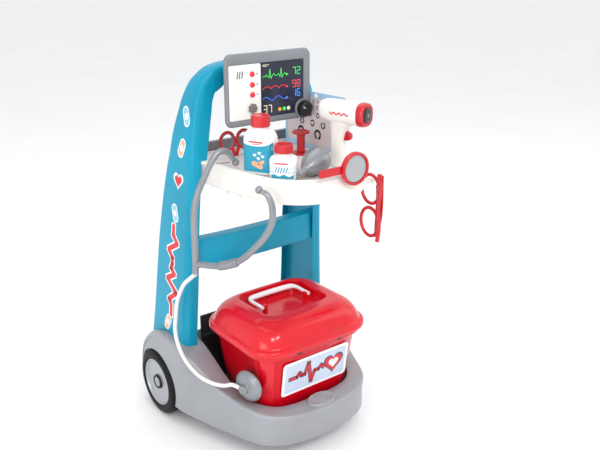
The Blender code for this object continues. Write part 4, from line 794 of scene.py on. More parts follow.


# Painted shade: the speaker slots are dark-ink slabs on the panel that stand in for the shade inside the
# openings.
speaker_slot_shade = [pill(-0.0558 + 0.0042 * k, 0.5955, 0.0110, 0.0016, 1.45) for k in (-1, 0, 1)]
printed("speaker_slot_shade", speaker_slot_shade, on_panel, dark_ink,
        "trolley", "monitor_panel")
printed("button_dots", [pill(-0.0245, z, 0.0022, 0.0022) for z in (0.5955, 0.5795, 0.5645)], on_panel,
        dark_ink, "trolley",
        "monitor_panel")
button_red = moulded("button_red", ink(222, 26, 42), 0.26, 0.08, mottle=0.04, Coat_Weight=0.4,
                     Coat_Roughness=0.1)
for k, (z, body) in enumerate(((0.5955, "button_high"), (0.5795, "button_middle"), (0.5645, "button_low"))):
    top = [(0.0042, 0.0052), (0.0042, -0.0018), (0.0040, -0.0026), (0.0035, -0.0032), (0.0026, -0.0036),
           (0.0012, -0.0037)]
    on(skin(f"press_{k + 1}", lathe(top, (-0.0338, front, z), (0, 1, 0), 48), button_red), body,
       f"button_{k + 1}")
knob_brown = moulded("knob_brown", ink(112, 103, 98), 0.42, 0.2, mottle=0.06)
t = np.linspace(0.0, 2.0 * np.pi, 112, endpoint=False)
rows = []
for radius, y, wave in ((0.0029, 0.0090, 0.0), (0.0029, -0.0009, 0.0), (0.0058, -0.0010, 0.14),
                        (0.0067, -0.0016, 0.14),
                        (0.0070, -0.0026, 0.14), (0.0069, -0.0046, 0.14), (0.0062, -0.0060, 0.12),
                        (0.0048, -0.0066, 0.08),
                        (0.0022, -0.0066, 0.0)):
    r = radius * (1.0 + wave * np.cos(7 * t))
    rows.append(np.stack((-0.0345 + r * np.cos(t), np.full(len(t), front + y), 0.5440 + r * np.sin(t)), 1))
on(skin("flower_selector", rows, knob_brown), "mode_selector", "mode_knob")
ring_at = (0.0635, front + 0.0045, 0.5325)
bezel = [(0.0107, 0.0045), (0.0156, 0.0045), (0.0156, -0.0058), (0.0155, -0.0064), (0.0152, -0.0069),
         (0.0148, -0.0070), (0.0140, -0.0066), (0.0126, -0.0056), (0.0118, -0.0052), (0.0110, -0.0052),
         (0.0107, -0.0050)]
on(skin("dial_bezel", lathe(bezel, ring_at, (0, 1, 0)), disc_silver, ring=True), "trolley", "dial_ring")
t = np.linspace(0.0, 2.0 * np.pi, 240, endpoint=False)
rows = []
for radius, y, wave in ((0.0100, 0.0088, 0.0), (0.0100, -0.0010, 0.0), (0.0112, -0.0022, 0.02),
                        (0.0118, -0.0034, 0.03),
                        (0.0118, -0.0090, 0.03), (0.0115, -0.0104, 0.026), (0.0108, -0.0113, 0.02),
                        (0.0098, -0.0118, 0.01),
                        (0.0090, -0.0117, 0.0), (0.0084, -0.0113, 0.0), (0.0020, -0.0112, 0.0)):
    r = radius * (1.0 + wave * np.clip(2.0 * np.cos(20 * t), -1.0, 1.0))
    rows.append(np.stack((0.0635 + r * np.cos(t), np.full(len(t), front + y), 0.5325 + r * np.sin(t)), 1))
on(skin("fluted_dial", rows, cap_black), "dial", "dial_knob")
printed("dial_pointer", [pill(0.0635 - 0.0052, 0.5325 + 0.0030, 0.0060, 0.0012, 2.6)],
        lifted(on_screen, 0.0120),
        sticker_white, "dial", "dial_knob")
refinish("battery_cover", housing_grey)


# ---------------------------------------------------------------- case
# Lift-out case of glossy red plastic: a tapering body with a flange, and a hinged lid with a rolled
# rim, a domed top and a recess for the white bail. A printed label sits on the leaning front wall.
case_red = moulded("case_red", ink(214, 4, 28), 0.20, 0.10, pits=700.0, mottle=0.05, marks=0.04,
                   Specular_IOR_Level=0.35, Coat_Weight=0.45,
                   Coat_Roughness=0.07, Subsurface_Weight=0.05, Subsurface_Scale=0.003)


def case_ring(half, low, high, radius, z, bow=0.003, steps=14):
    """Rounded rectangle lying flat, its front and back edges bowed out at the middle."""
    t = np.linspace(0.0, np.pi / 2, steps)
    arcs = []
    for cx, cy, start in ((half - radius, low + radius, -np.pi / 2), (half - radius, high - radius, 0.0),
                          (-half + radius, high - radius, np.pi / 2),
                          (-half + radius, low + radius, np.pi)):
        arcs.append(np.stack((cx + radius * np.cos(t + start), cy + radius * np.sin(t + start)), 1))
        nx = arcs[-1][-1]
        if abs(start) < 0.1 or abs(start - np.pi) < 0.1:
            straight = np.linspace(nx[0], -nx[0], 22)[1:-1]
            arcs.append(np.stack((straight, np.full(len(straight), nx[1])), 1))
    flat = np.concatenate(arcs)
    share = np.clip(1.0 - (flat[:, 0] / half) ** 2, 0.0, 1.0)
    flat[:, 1] += bow * share * np.where(flat[:, 1] > (low + high) / 2, 1.0, -1.0)
    return level(flat, z)


body_table = [
    (0.0700, -0.2100, -0.1040, 0.022, 0.0443), (0.0780, -0.2180, -0.0960, 0.028, 0.0443),
    (0.0812, -0.2215, -0.0932, 0.0292, 0.0455),
    (0.0830, -0.2235, -0.0920, 0.030, 0.0503), (0.0989, -0.2409, -0.0801, 0.036, 0.1765),
    (0.0998, -0.2418, -0.0796, 0.0364, 0.1776),
    (0.1045, -0.2465, -0.0765, 0.0395, 0.1783), (0.1054, -0.2474, -0.0761, 0.0400, 0.1793),
    (0.1055, -0.2475, -0.0760, 0.040, 0.1850),
    (0.1048, -0.2468, -0.0765, 0.0395, 0.1860), (0.0966, -0.2386, -0.0836, 0.0345, 0.1860),
    (0.0958, -0.2378, -0.0842, 0.0338, 0.1852),
    (0.0880, -0.2290, -0.0900, 0.030, 0.1180), (0.0805, -0.2210, -0.0946, 0.0272, 0.0520),
    (0.0795, -0.2200, -0.0954, 0.0268, 0.0488),
    (0.0700, -0.2100, -0.1040, 0.022, 0.0488)]
on(skin("case_tub", [case_ring(*row) for row in body_table], case_red), "case", "case_body")
seat = 0.1863
lid_table = through([
    (0.0900, -0.2320, -0.0890, 0.030, seat + 0.012, 0.003),
    (0.0950, -0.2370, -0.0850, 0.033, seat + 0.0118, 0.003),
    (0.1040, -0.2460, -0.0775, 0.039, seat + 0.0004, 0.003), (0.1075, -0.2492, -0.0742, 0.041, seat, 0.003),
    (0.1110, -0.2525, -0.0713, 0.0434, seat + 0.0003, 0.003),
    (0.1128, -0.2543, -0.0701, 0.0449, seat + 0.0022, 0.003),
    (0.1131, -0.2546, -0.0700, 0.045, seat + 0.0050, 0.003),
    (0.1124, -0.2539, -0.0703, 0.0444, seat + 0.0088, 0.003),
    (0.1108, -0.2522, -0.0715, 0.0432, seat + 0.0108, 0.003),
    (0.1078, -0.2492, -0.0743, 0.0410, seat + 0.0118, 0.003),
    (0.1062, -0.2477, -0.0758, 0.0400, seat + 0.0132, 0.003),
    (0.1050, -0.2463, -0.0772, 0.0392, seat + 0.0160, 0.003),
    (0.1030, -0.2440, -0.0790, 0.038, seat + 0.0210, 0.003),
    (0.0990, -0.2400, -0.0822, 0.0372, seat + 0.0290, 0.003),
    (0.0935, -0.2345, -0.0866, 0.036, seat + 0.0356, 0.003),
    (0.0870, -0.2280, -0.0925, 0.034, seat + 0.0402, 0.003),
    (0.0815, -0.2225, -0.0970, 0.032, 0.2292, 0.003), (0.0770, -0.2180, -0.1000, 0.0305, 0.2308, 0.003),
    (0.0720, -0.2120, -0.1015, 0.026, 0.2310, 0.002), (0.0655, -0.2040, -0.1025, 0.020, 0.2310, 0.001),
    (0.0628, -0.2008, -0.1028, 0.0183, 0.2307, 0.0), (0.0618, -0.1996, -0.1033, 0.0178, 0.2296, 0.0),
    (0.0602, -0.1974, -0.1042, 0.0168, 0.2195, 0.0), (0.0595, -0.1964, -0.1047, 0.0163, 0.2172, 0.0),
    (0.0580, -0.1945, -0.1060, 0.0150, 0.2165, 0.0), (0.0300, -0.1700, -0.1300, 0.0080, 0.2165, 0.0)], 3)
lid = skin("case_cover", [case_ring(*row) for row in lid_table], case_red)
for sign in (-1.0, 1.0):
    block = eased([(-0.1625, 0.2155), (-0.1545, 0.2155), (-0.1545, 0.2305), (-0.1625, 0.2305)], 0.0016, 5)
    carve(lid, [np.column_stack((np.full(len(block), sign * x), block)) for x in (0.0378, 0.0428)], "UNION")
on(lid, "lid", "case_lid")
bail_white = moulded("bail_white", ink(238, 238, 240), 0.28, 0.12, mottle=0.02, Coat_Weight=0.2)
bail_half, bail_y, bail_z = 0.047, -0.1585, 0.2272
bail = through([(-bail_half, bail_y - 0.003, bail_z), (-bail_half, bail_y + 0.012, bail_z),
                (-bail_half, bail_y + 0.028, bail_z), (-bail_half + 0.003, bail_y + 0.036, bail_z),
                (-bail_half + 0.011, bail_y + 0.040, bail_z), (0.0, bail_y + 0.0406, bail_z + 0.0004),
                (bail_half - 0.011, bail_y + 0.040, bail_z),
                (bail_half - 0.003, bail_y + 0.036, bail_z), (bail_half, bail_y + 0.028, bail_z),
                (bail_half, bail_y + 0.012, bail_z), (bail_half, bail_y - 0.003, bail_z)], 8)
thick = resample([0.0030, 0.0029, 0.0031, 0.0038, 0.0045, 0.0046, 0.0045, 0.0038, 0.0031, 0.0029,
                  0.0030], len(bail))
on(skin("bail_grip", swept(bail, thick, 24), bail_white), "bail", "case_handle")


def on_case(u, v, height):
    """u across the leaning front wall, v the height above the floor, height out of the wall."""
    lean = (0.2410 - 0.2235) / (0.186 - 0.0085 - 0.0443 - 0.006)
    y = -0.2235 - 0.0030 - lean * (np.asarray(v, float) - 0.0503)
    return np.stack((np.asarray(u, float), y - height, np.asarray(v, float)), -1)


def rounded(u0, u1, v0, v1, radius):
    return upright_ring(u0, u1, v0, v1, radius, 0.0)[:, [0, 2]]


label_white = moulded("label_white", ink(240, 242, 246), 0.30, 0.06, mottle=0.015, Coat_Weight=0.3)
label_field = moulded("label_field", ink(196, 208, 226), 0.32, 0.06, mottle=0.05, Coat_Weight=0.3)
label = printed("label_plate", [rounded(-0.066, 0.066, 0.104, 0.165, 0.006)], on_case, label_white,
                "case", "case_label", 0.0011, 0.0003)
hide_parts("case_label")
printed("label_field", [rounded(-0.0615, 0.0615, 0.1085, 0.1605, 0.004)], lifted(on_case, 0.0011),
        label_field,
        "case", "case_label")
rhythm = through(np.array([(-0.052, 0.0), (-0.038, 0.0), (-0.033, 0.006), (-0.028, 0.0), (-0.022, 0.0),
                           (-0.016, 0.020), (-0.008, -0.018), (-0.002, 0.0), (0.006, 0.0),
                           (0.011, 0.006), (0.017, 0.0)]) + (0.0, 0.1335), 1)
badge = heart(0.0365, 0.1335, 0.0350)
printed("label_outline", drawn(rhythm, 0.0078) + [heart(0.0365, 0.1335, 0.0410)], lifted(on_case, 0.0012),
        sticker_dark, "case", "case_label")
printed("label_rhythm", drawn(rhythm, 0.0044) + [badge], lifted(on_case, 0.0014), sticker_red, "case",
        "case_label")
printed("label_shine", [heart(0.0365, 0.1345, 0.0200)], lifted(on_case, 0.0016), label_white, "case",
        "case_label")
def on_flange(u, v, height):
    """u across the bowed front edge of the case's flange, v up it, height outwards."""
    bow = 0.003 * (1 - (np.asarray(u) / 0.1055) ** 2)
    return np.stack((u, -0.2475 - bow - height, v), -1)


# Painted shade: two dark charcoal slabs on the front of the flange stand in for the shade in the shallow
# notches under the rim.
notch_shade_outlines = [rounded(u - 0.0045, u + 0.0045, 0.1800, 0.1838, 0.0008) for u in (-0.040, 0.040)]
printed("painted_notch_shade", notch_shade_outlines, on_flange, charcoal, "case", "case_body")


# ---------------------------------------------------------------- stethoscope
# Silver-grey headset bent in one piece: two arms that end in soft ear tips and meet in a ribbed yoke,
# where the hose starts. The chest piece is a shallow drum with a hub for the hose.
steth_silver = moulded("steth_silver", ink(142, 145, 150), 0.33, 0.22, pits=1200.0, mottle=0.05,
                       marks=0.2, Metallic=0.45,
                       Coat_Weight=0.2, Coat_Roughness=0.2)
yoke_left, yoke_right = np.array((-0.1585, -0.150)), np.array((-0.0985, -0.2650))


def in_plane(share, z):
    """Point in the upright plane of the headset: share 0 at the outer arm, 1 at the inner arm."""
    return (*(yoke_left + (yoke_right - yoke_left) * share), z)


outer_arm = [(-0.0860, -0.1500, 0.4760), (-0.0940, -0.1500, 0.4870), (-0.1040, -0.1500, 0.4935),
             (-0.1160, -0.1500, 0.4905), (-0.1280, -0.1500, 0.4760), (-0.1400, -0.1500, 0.4560),
             (-0.1500, -0.1500, 0.4380), (-0.1565, -0.1500, 0.4180), (-0.1590, -0.1500, 0.3930),
             (-0.1590, -0.1495, 0.3640), (-0.1585, -0.1485, 0.3380),
             (-0.1582, -0.1465, 0.3130)]
inner_arm = [in_plane(*at) for at in ((0.86, 0.4562), (0.935, 0.4515), (0.985, 0.4370),
                                      (0.990, 0.4190), (0.950, 0.4020),
             (0.870, 0.3850), (0.755, 0.3680), (0.640, 0.3530), (0.520, 0.3420), (0.380, 0.3340),
             (0.200, 0.3300), (0.0, 0.3290))]
headset = None
for arm in (outer_arm, inner_arm):
    line = through(arm, 8)
    bar = swept(line, 0.0036 + 0.0012 * np.minimum(1.0, np.arange(len(line)) / 16.0), 24)
    headset = skin("headset_arms", bar, steth_silver) if headset is None else carve(headset, bar, "UNION")
grip = through([in_plane(*at) for at in ((0.30, 0.3322), (0.34, 0.3333), (0.42, 0.3368),
                                         (0.50, 0.3410), (0.54, 0.3432))], 14)
ribs = np.interp(np.linspace(0, 1, len(grip)), (0, 0.08, 0.92, 1), (0.0055, 0.0068, 0.0068, 0.0055))
ribs = ribs - 0.0005 * (np.sin(np.linspace(0, 16 * np.pi, len(grip))) > 0.3)
carve(headset, swept(grip, ribs, 28), "UNION")
on(headset, "stethoscope", "stethoscope_headset")
for name, arm in (("outer", outer_arm), ("inner", inner_arm)):
    tip = np.array(arm[0])
    bud = through([(0.0030, 0.0004), (0.0044, 0.0007), (0.0054, 0.0022), (0.0058, 0.0042),
                   (0.0053, 0.0062), (0.0042, 0.0076), (0.0028, 0.0084),
                   (0.0010, 0.0086)], 4)
    on(skin(f"ear_bud_{name}", lathe(bud, tip, tip - np.array(arm[1]), 40), steth_silver),
       "stethoscope", f"ear_tip_{name}")
drum = [(0.0150, -0.0040), (0.0225, -0.0040), (0.0238, -0.0046), (0.0250, -0.0042), (0.0257, -0.0034),
        (0.0258, -0.0022), (0.0256, -0.0010), (0.0249, -0.0003), (0.0244, 0.0004), (0.0236, 0.0016),
        (0.0205, 0.0036), (0.0165, 0.0052), (0.0120, 0.0061), (0.0092, 0.0064), (0.0084, 0.0067),
        (0.0080, 0.0074), (0.0074, 0.0078), (0.0072, 0.0084), (0.0072, 0.0134), (0.0069, 0.0142),
        (0.0062, 0.0147), (0.0050, 0.0148), (0.0044, 0.0144), (0.0040, 0.0140),
        (0.0010, 0.0140)]
chest_piece = on(skin("sounding_head", lathe(drum, chest_at, chest_axis, 128), steth_silver),
                 "stethoscope", "stethoscope_chestpiece")
tuple(tube_line[0] + DESIGN_TO_FLOOR)
[tuple(p) for p in tube_line + DESIGN_TO_FLOOR]


# ---------------------------------------------------------------- scissors
# Play scissors stood through a slot in the tray: two flat grey halves turn on a rivet, each with a red
# finger loop lined in grey.
play_red = moulded("play_red", ink(196, 10, 26), 0.28, 0.14, mottle=0.05, marks=0.08, Coat_Weight=0.3,
                   Coat_Roughness=0.15)
liner_grey = moulded("liner_grey", ink(118, 116, 118), 0.5, 0.25)
for sign, name, shift, body in ((-1.0, "left", -0.00125, "scissors_a"),
                                (1.0, "right", 0.00125, "scissors_b")):
    t = np.linspace(0.0, 2.0 * np.pi, 64, endpoint=False)
    a = np.linspace(0.0, 2.0 * np.pi, 20, endpoint=False)
    middle = np.array((sx + sign * 0.0155, sy, 0.452 + 0.0350))
    out = np.stack((np.cos(t), 0 * t, np.sin(t)), 1)
    for kind, major, minor, tint in (("loop", 0.0128, 0.0024, play_red),
                                     ("liner", 0.0112, 0.0017, liner_grey)):
        centre = middle + out * (major, 0.0, major * 1.08)
        around = out[:, None] * np.cos(a)[None, :, None] + np.array((0, 1, 0)) * np.sin(a)[None, :, None]
        ring = centre[:, None] + minor * around
        made = skin(f"scissors_{name}_{kind}", ring, tint, ring=True)
        if kind == "loop":
            shank = eased([(sx + sign * 0.0100, 0.4748), (sx + sign * 0.0052, 0.4630),
                           (sx + sign * 0.0046, 0.4550), (sx + sign * 0.0046, 0.4460),
                           (sx - sign * 0.0010, 0.4280), (sx - sign * 0.0042, 0.4190),
                           (sx - sign * 0.0050, 0.4280), (sx - sign * 0.0048, 0.4480),
                           (sx - sign * 0.0046, 0.4560), (sx + sign * 0.0006, 0.4640),
                           (sx + sign * 0.0045, 0.4770)], 0.002, 5)
            shank_rows = [np.column_stack((shank[:, 0], np.full(len(shank), sy + shift + d), shank[:, 1]))
                          for d in (-0.0011, 0.0011)]
            carve(made, shank_rows, "UNION")
            carve(made, lathe([(0.0018, -0.02), (0.0018, 0.02)], (sx, sy, 0.452), (0, 1, 0), 32))
            on(made, body, f"scissors_{name}")
        else:
            on(made, body, slot=f"scissors_{name}")
refinish("scissors_rivet", axle_steel)


# ---------------------------------------------------------------- bottles
# Two blow-moulded white bottles with flattened bodies and ribbed red screw caps; each has a wrap-round
# print.
bottle_white = moulded("bottle_white", ink(238, 238, 236), 0.36, 0.14, mottle=0.02,
                       Subsurface_Weight=0.2, Subsurface_Scale=0.005)
print_teal = moulded("print_teal", ink(28, 150, 180), 0.34, 0.06, mottle=0.04)


def in_tray(points, turn, at):
    """Shape built round its own upright axis, turned about it and stood on the tray floor."""
    points = np.asarray(points, float)
    c, s = math.cos(turn), math.sin(turn)
    x, y = points[..., 0] * c - points[..., 1] * s, points[..., 0] * s + points[..., 1] * c
    return np.stack((x + at[0], y + at[1], points[..., 2] + 0.4623), -1)


def flask_ring(w, d, r, z):
    return upright_ring(-w, w, -d, d, r, 0.0, 12)[:, [0, 2, 1]] + (0.0, 0.0, z)


for name, body, cap_body, at, twist, (wide, deep, tall, neck, cap_high) in (
        ("large", "big_bottle", "big_cap", (-0.0640, -0.1880), math.radians(-64.0),
         (0.050, 0.030, 0.067, 0.0108, 0.0165)),
        ("small", "little_bottle", "little_cap", (-0.0560, -0.2330), math.radians(-52.0),
         (0.040, 0.027, 0.036, 0.0104, 0.0125))):
    w, d = wide / 2.0, deep / 2.0
    r = d * 0.75
    table = through([(w - 0.0050, d - 0.0045, r - 0.003, 0.0), (w - 0.0018, d - 0.0018, r - 0.001, 0.0002),
                     (w - 0.0003, d - 0.0003, r, 0.0022), (w, d, r, 0.0060), (w, d, r, tall * 0.40),
                     (w, d, r, tall * 0.70),
                     (w * 0.95, d * 0.965, r, tall * 0.84), (w * 0.80, d * 0.90, d * 0.74, tall * 0.93),
                     (w * 0.58, d * 0.80, d * 0.74, tall * 0.980),
                     (neck * 1.05, neck * 1.02, neck * 0.96, tall),
                     (neck, neck, neck * 0.96, tall + 0.0020)], 4)
    flask = skin(f"{name}_flask", in_tray([flask_ring(*row) for row in table], twist, at), bottle_white)
    on(flask, body, f"bottle_{name}")
    t = np.linspace(0.0, 2.0 * np.pi, 180, endpoint=False)
    low = tall + 0.0023
    rad = neck * 1.30
    rows = []
    for scale, z, rib in ((0.955, 0.0, 0.0), (0.985, 0.0006, 0.0), (1.0, 0.0016, 0.0),
                          (1.0, 0.0022, 1.0), (1.0, cap_high - 0.0026, 1.0),
                          (0.985, cap_high - 0.0014, 0.5), (0.95, cap_high - 0.0004, 0.0),
                          (0.90, cap_high, 0.0),
                          (0.80, cap_high - 0.0001, 0.0), (0.76, cap_high - 0.0006, 0.0),
                          (0.2, cap_high - 0.0006, 0.0)):
        rr = rad * scale * (1.0 - 0.026 * rib * (np.cos(36 * t) < 0.2))
        rows.append(np.stack((rr * np.cos(t), rr * np.sin(t), np.full(len(t), low + z)), 1))
    on(skin(f"{name}_screw_cap", in_tray(rows, twist, at), play_red), cap_body, f"bottle_{name}_cap")

    def on_flask(u, v, height, half=w - r, d=d, r=r, twist=twist, at=at):
        """u along the front of the body and on round its corners, v up it, height outwards."""
        u, v = np.asarray(u, float), np.asarray(v, float)
        bend = np.clip((np.abs(u) - half) / r, 0.0, np.pi / 2)
        x = np.sign(u) * (np.minimum(np.abs(u), half) + (r + height) * np.sin(bend))
        y = r - d - (r + height) * np.cos(bend)
        return in_tray(np.stack((x, y, v), -1), twist, at)

    wrap = w - r + 1.25 * r
    if name == "large":
        swoosh = lambda u: 0.0425 + 0.0035 * (u / 0.02) ** 2 * (u > 0) + 0.0020 * (u / 0.02) ** 2 * (u < 0)
        printed("large_band", strips(-wrap, wrap, lambda u: 0.0045, swoosh), on_flask, print_teal,
                body, "bottle_large")
        drops = [heart(u, v, 0.0056) for u, v in ((-0.0020, 0.0290), (0.0055, 0.0325),
                                                  (0.0110, 0.0280), (0.0040, 0.0245))]
        printed("large_drops", drops, lifted(on_flask, 0.0001), sticker_white, body, "bottle_large")
        printed("large_palm", [pill(0.0020, 0.0150, 0.0190, 0.0075, -0.35),
                               pill(0.0085, 0.0190, 0.0120, 0.0050, 0.5)],
                lifted(on_flask, 0.0001), sticker_peach, body, "bottle_large")
        printed("large_rule", [pill(0.0, 0.0485, 0.0230, 0.0022), pill(0.0, 0.0455, 0.0140, 0.0010)],
                on_flask,
                sticker_red, body, "bottle_large")
    else:
        slants = [[(u, 0.0112), (u + 0.0018, 0.0112), (u + 0.0048, 0.0196), (u + 0.0030, 0.0196)]
                  for u in np.arange(-wrap, wrap - 0.005, 0.0040)]
        printed("small_slants", slants, on_flask, print_teal, body, "bottle_small")
        printed("small_band", strips(-wrap * 0.7, wrap * 0.8, lambda u: 0.0030,
                                     lambda u: 0.0076 + 0.0014 * np.sin(u * 420)),
                on_flask, print_teal, body, "bottle_small")
        printed("small_rule", [pill(0.0, 0.0245, 0.0200, 0.0020)], on_flask, sticker_red, body,
                "bottle_small")


# ---------------------------------------------------------------- syringe
# Red syringe plugged through a hole in the tray: barrel with a finger flange, and a plunger with a
# thumb disc.
syringe_at = (0.051, -0.135, 0.4623)
barrel = [(0.0070, -0.0420), (0.0082, -0.0420), (0.0085, -0.0416), (0.0085, -0.0004), (0.0089, 0.0),
          (0.0140, 0.0), (0.0145, 0.0005), (0.0146, 0.0013), (0.0145, 0.0021), (0.0140, 0.0026),
          (0.0074, 0.0026), (0.0070, 0.0022)]
on(skin("barrel_tube", lathe(barrel, syringe_at, (0, 0, 1)), play_red, ring=True), "syringe",
   "syringe_barrel")
plunger = [(0.0060, -0.0100), (0.0066, -0.0095), (0.0066, 0.0290), (0.0070, 0.0308), (0.0080, 0.0322),
           (0.0110, 0.0332), (0.0136, 0.0336), (0.0143, 0.0341), (0.0145, 0.0350), (0.0144, 0.0360),
           (0.0139, 0.0367), (0.0130, 0.0370), (0.0118, 0.0368), (0.0108, 0.0362),
           (0.0020, 0.0360)]
on(skin("plunger_rod", lathe(plunger, syringe_at, (0, 0, 1)), play_red), "plunger", "syringe_plunger")


# ---------------------------------------------------------------- otoscope and mirror
# A hollow pear-shaped otoscope in silver plastic lies on the tray; the reflex mirror is a grey disc in
# a red ring with a flat handle, propped over the front edge.
nose, tail = np.array((-0.0500, -0.2620, 0.4735)), np.array((0.0100, -0.2390, 0.4850))
pear = through([(0.0012, 0.0), (0.0030, 0.0015), (0.0042, 0.02), (0.0050, 0.10), (0.0056, 0.20),
                (0.0070, 0.25), (0.0100, 0.30), (0.0150, 0.45), (0.0188, 0.62), (0.0198, 0.78),
                (0.0184, 0.90), (0.0156, 0.97), (0.0122, 1.0), (0.0100, 0.995),
                (0.0020, 0.985)], 5) * (1.0, np.linalg.norm(tail - nose))
on(skin("pear_scope", lathe(pear, nose, tail - nose), steth_silver), "otoscope_body", "otoscope")
mirror_at = np.array((0.0221, -0.2975, 0.4774))
ring = through([(0.0203, -0.0030), (0.0210, -0.0038), (0.0224, -0.0041), (0.0238, -0.0035),
                (0.0243, -0.0020), (0.0243, 0.0024), (0.0238, 0.0036), (0.0226, 0.0040),
                (0.0200, 0.0040), (0.0150, 0.0040), (0.0104, 0.0040), (0.0100, 0.0034),
                (0.0100, 0.0016), (0.0106, 0.0012), (0.0150, 0.0012), (0.0198, 0.0012),
                (0.0203, 0.0006)], 3, closed=True)
mirror = skin("mirror_frame", lathe(ring, mirror_at, (0, 1, 0)), play_red, ring=True)
blade = eased([(0.0010, -0.0050), (0.0036, -0.0050), (0.0036, 0.0070), (0.0010, 0.0070)], 0.0010, 5)
blade_rows = [np.column_stack((np.full(len(blade), mirror_at[0] + x),
                               mirror_at[1] + 0.0023 + (blade[:, 0] - 0.0023) * g,
                               mirror_at[2] + 0.0010 + (blade[:, 1] - 0.0010) * g))
              for x, g in ((-0.0640, 0.55), (-0.0634, 0.80), (-0.0622, 0.94), (-0.0600, 1.0),
                           (-0.0215, 1.0))]
carve(mirror, blade_rows, "UNION")
on(mirror, "mirror", "mirror_ring")
disc = [(0.0020, -0.0021), (0.0150, -0.0022), (0.0186, -0.0021), (0.0196, -0.0018), (0.0200, -0.0012),
        (0.0200, 0.0009), (0.0040, 0.0009)]
mirror_grey = moulded("mirror_grey", ink(168, 170, 174), 0.24, 0.05, mottle=0.04, Metallic=0.35,
                      Coat_Weight=0.5, Coat_Roughness=0.05)
on(skin("reflex_disc", lathe(disc, mirror_at, (0, 1, 0)), mirror_grey), "mirror", "mirror_face")


# ---------------------------------------------------------------- thermometer
# Pistol thermometer in off-white plastic standing on its grip: two half shells, a red ring round the
# nose, a dark window in it, and a sprung red trigger.
gun_at, gun_turn = np.array((0.053, -0.236, 0.545)), math.radians(14.0)
gun_white = moulded("gun_white", ink(234, 231, 226), 0.34, 0.16, mottle=0.025, marks=0.12, Coat_Weight=0.15)


def gun(points):
    """Shape built round the middle of the head, turned about the upright axis and lifted into place."""
    points = np.asarray(points, float)
    c, s = math.cos(gun_turn), math.sin(gun_turn)
    return np.stack((points[..., 0] * c - points[..., 1] * s, points[..., 0] * s + points[..., 1] * c,
                     points[..., 2]), -1) + gun_at


def squircle(half_u, half_v, power=2.6, steps=72):
    """Superellipse: |u|^p + |v|^p = 1, scaled to its two half widths."""
    t = np.linspace(0.0, 2.0 * np.pi, steps, endpoint=False)
    c, s = np.cos(t), np.sin(t)
    return half_u * np.sign(c) * np.abs(c) ** (2 / power), half_v * np.sign(s) * np.abs(s) ** (2 / power)


def along_head(table):
    rows = []
    for reach, half_u, half_v, lift in table:
        u, v = squircle(half_u, half_v)
        rows.append(np.stack((u, np.full(len(u), -reach), v + lift), 1))
    return gun(rows)


head = through([(-0.0402, 0.0030, 0.0032, 0.0021), (-0.0400, 0.0080, 0.0085, 0.0020),
                (-0.0380, 0.0120, 0.0125, 0.0018), (-0.0300, 0.0150, 0.0160, 0.0010),
                (-0.0100, 0.0165, 0.0178, 0.0), (0.0150, 0.0160, 0.0175, 0.0),
                (0.0285, 0.0151, 0.0169, 0.0), (0.0298, 0.0147, 0.0165, 0.0),
                (0.0300, 0.0140, 0.0158, 0.0)], 5)
thermometer = skin("thermometer_shells", along_head(head), gun_white)
grip_table = through([(-0.0824, 0.0098, 0.0020, 0.0160), (-0.0822, 0.0112, 0.0008, 0.0172),
                      (-0.0805, 0.0120, -0.0005, 0.0185),
                      (-0.0640, 0.0118, -0.0012, 0.0188), (-0.045, 0.0118, -0.0020, 0.0190),
                      (-0.026, 0.0122, -0.0080, 0.0200),
                      (-0.014, 0.0135, -0.0180, 0.0215), (-0.004, 0.0140, -0.0240, 0.0220)], 4)
rows = []
for z, half_u, near, far in grip_table:
    u, v = squircle(half_u, (far - near) / 2.0)
    rows.append(np.stack((u, (near + far) / 2.0 + v, np.full(len(u), z)), 1))
carve(thermometer, gun(rows), "UNION")
well_box = [[(x, y, z) for x, y in ((-0.0038, -0.040), (0.0038, -0.040), (0.0038, 0.004),
                                    (-0.0038, 0.004))] for z in (-0.0420, -0.0280)]
carve(thermometer, gun(well_box))
on(thermometer, "thermometer", "thermometer_body")
lip = through([(0.0303, 0.0148, 0.0168, 0.0), (0.0306, 0.0155, 0.0175, 0.0),
               (0.0330, 0.0158, 0.0178, 0.0), (0.0375, 0.0155, 0.0175, 0.0),
               (0.0402, 0.0148, 0.0168, 0.0), (0.0418, 0.0136, 0.0154, 0.0),
               (0.0420, 0.0120, 0.0138, 0.0), (0.0412, 0.0104, 0.0124, 0.0),
               (0.0404, 0.0096, 0.0116, 0.0), (0.0402, 0.0040, 0.0050, 0.0)], 4)
on(skin("nose_ring", along_head(lip), play_red), "thermometer", "thermometer_nose")
window_black = moulded("window_black", ink(26, 26, 30), 0.16, 0.03, mottle=0.2, Coat_Weight=0.6,
                       Coat_Roughness=0.05)
glass = through([(0.0408, 0.0088, 0.0108, 0.0), (0.0421, 0.0088, 0.0108, 0.0),
                 (0.0427, 0.0080, 0.0100, 0.0), (0.0430, 0.0062, 0.0080, 0.0),
                 (0.0431, 0.0010, 0.0012, 0.0)], 4)
on(skin("nose_window", along_head(glass), window_black), "thermometer", "thermometer_window")
flat = eased([(0.0000, -0.0283), (-0.0090, -0.0283), (-0.0140, -0.0310), (-0.0152, -0.0350),
              (-0.0138, -0.0395), (-0.0090, -0.0417),
              (0.0000, -0.0417)], 0.004, 6)
rows = []
for x, g in ((-0.0034, 0.92), (-0.0031, 0.97), (-0.0024, 1.0), (0.0024, 1.0), (0.0031, 0.97),
             (0.0034, 0.92)):
    rows.append(np.column_stack((np.full(len(flat), x), flat[:, 0] * g,
                                 -0.0350 + (flat[:, 1] + 0.0350) * g)))
on(skin("trigger_tongue", gun(rows), play_red), "trigger", "thermometer_trigger")


def on_gun(u, v, height):
    """u along the left cheek of the head from its middle towards the nose, v up."""
    u, v = np.asarray(u, float), np.asarray(v, float)
    half = np.interp(u, head[:, 0], head[:, 1]) * (1.0 - np.abs(v / 0.0176) ** 2.6) ** (1 / 2.6)
    return gun(np.stack((-half - height, -u, v), -1))


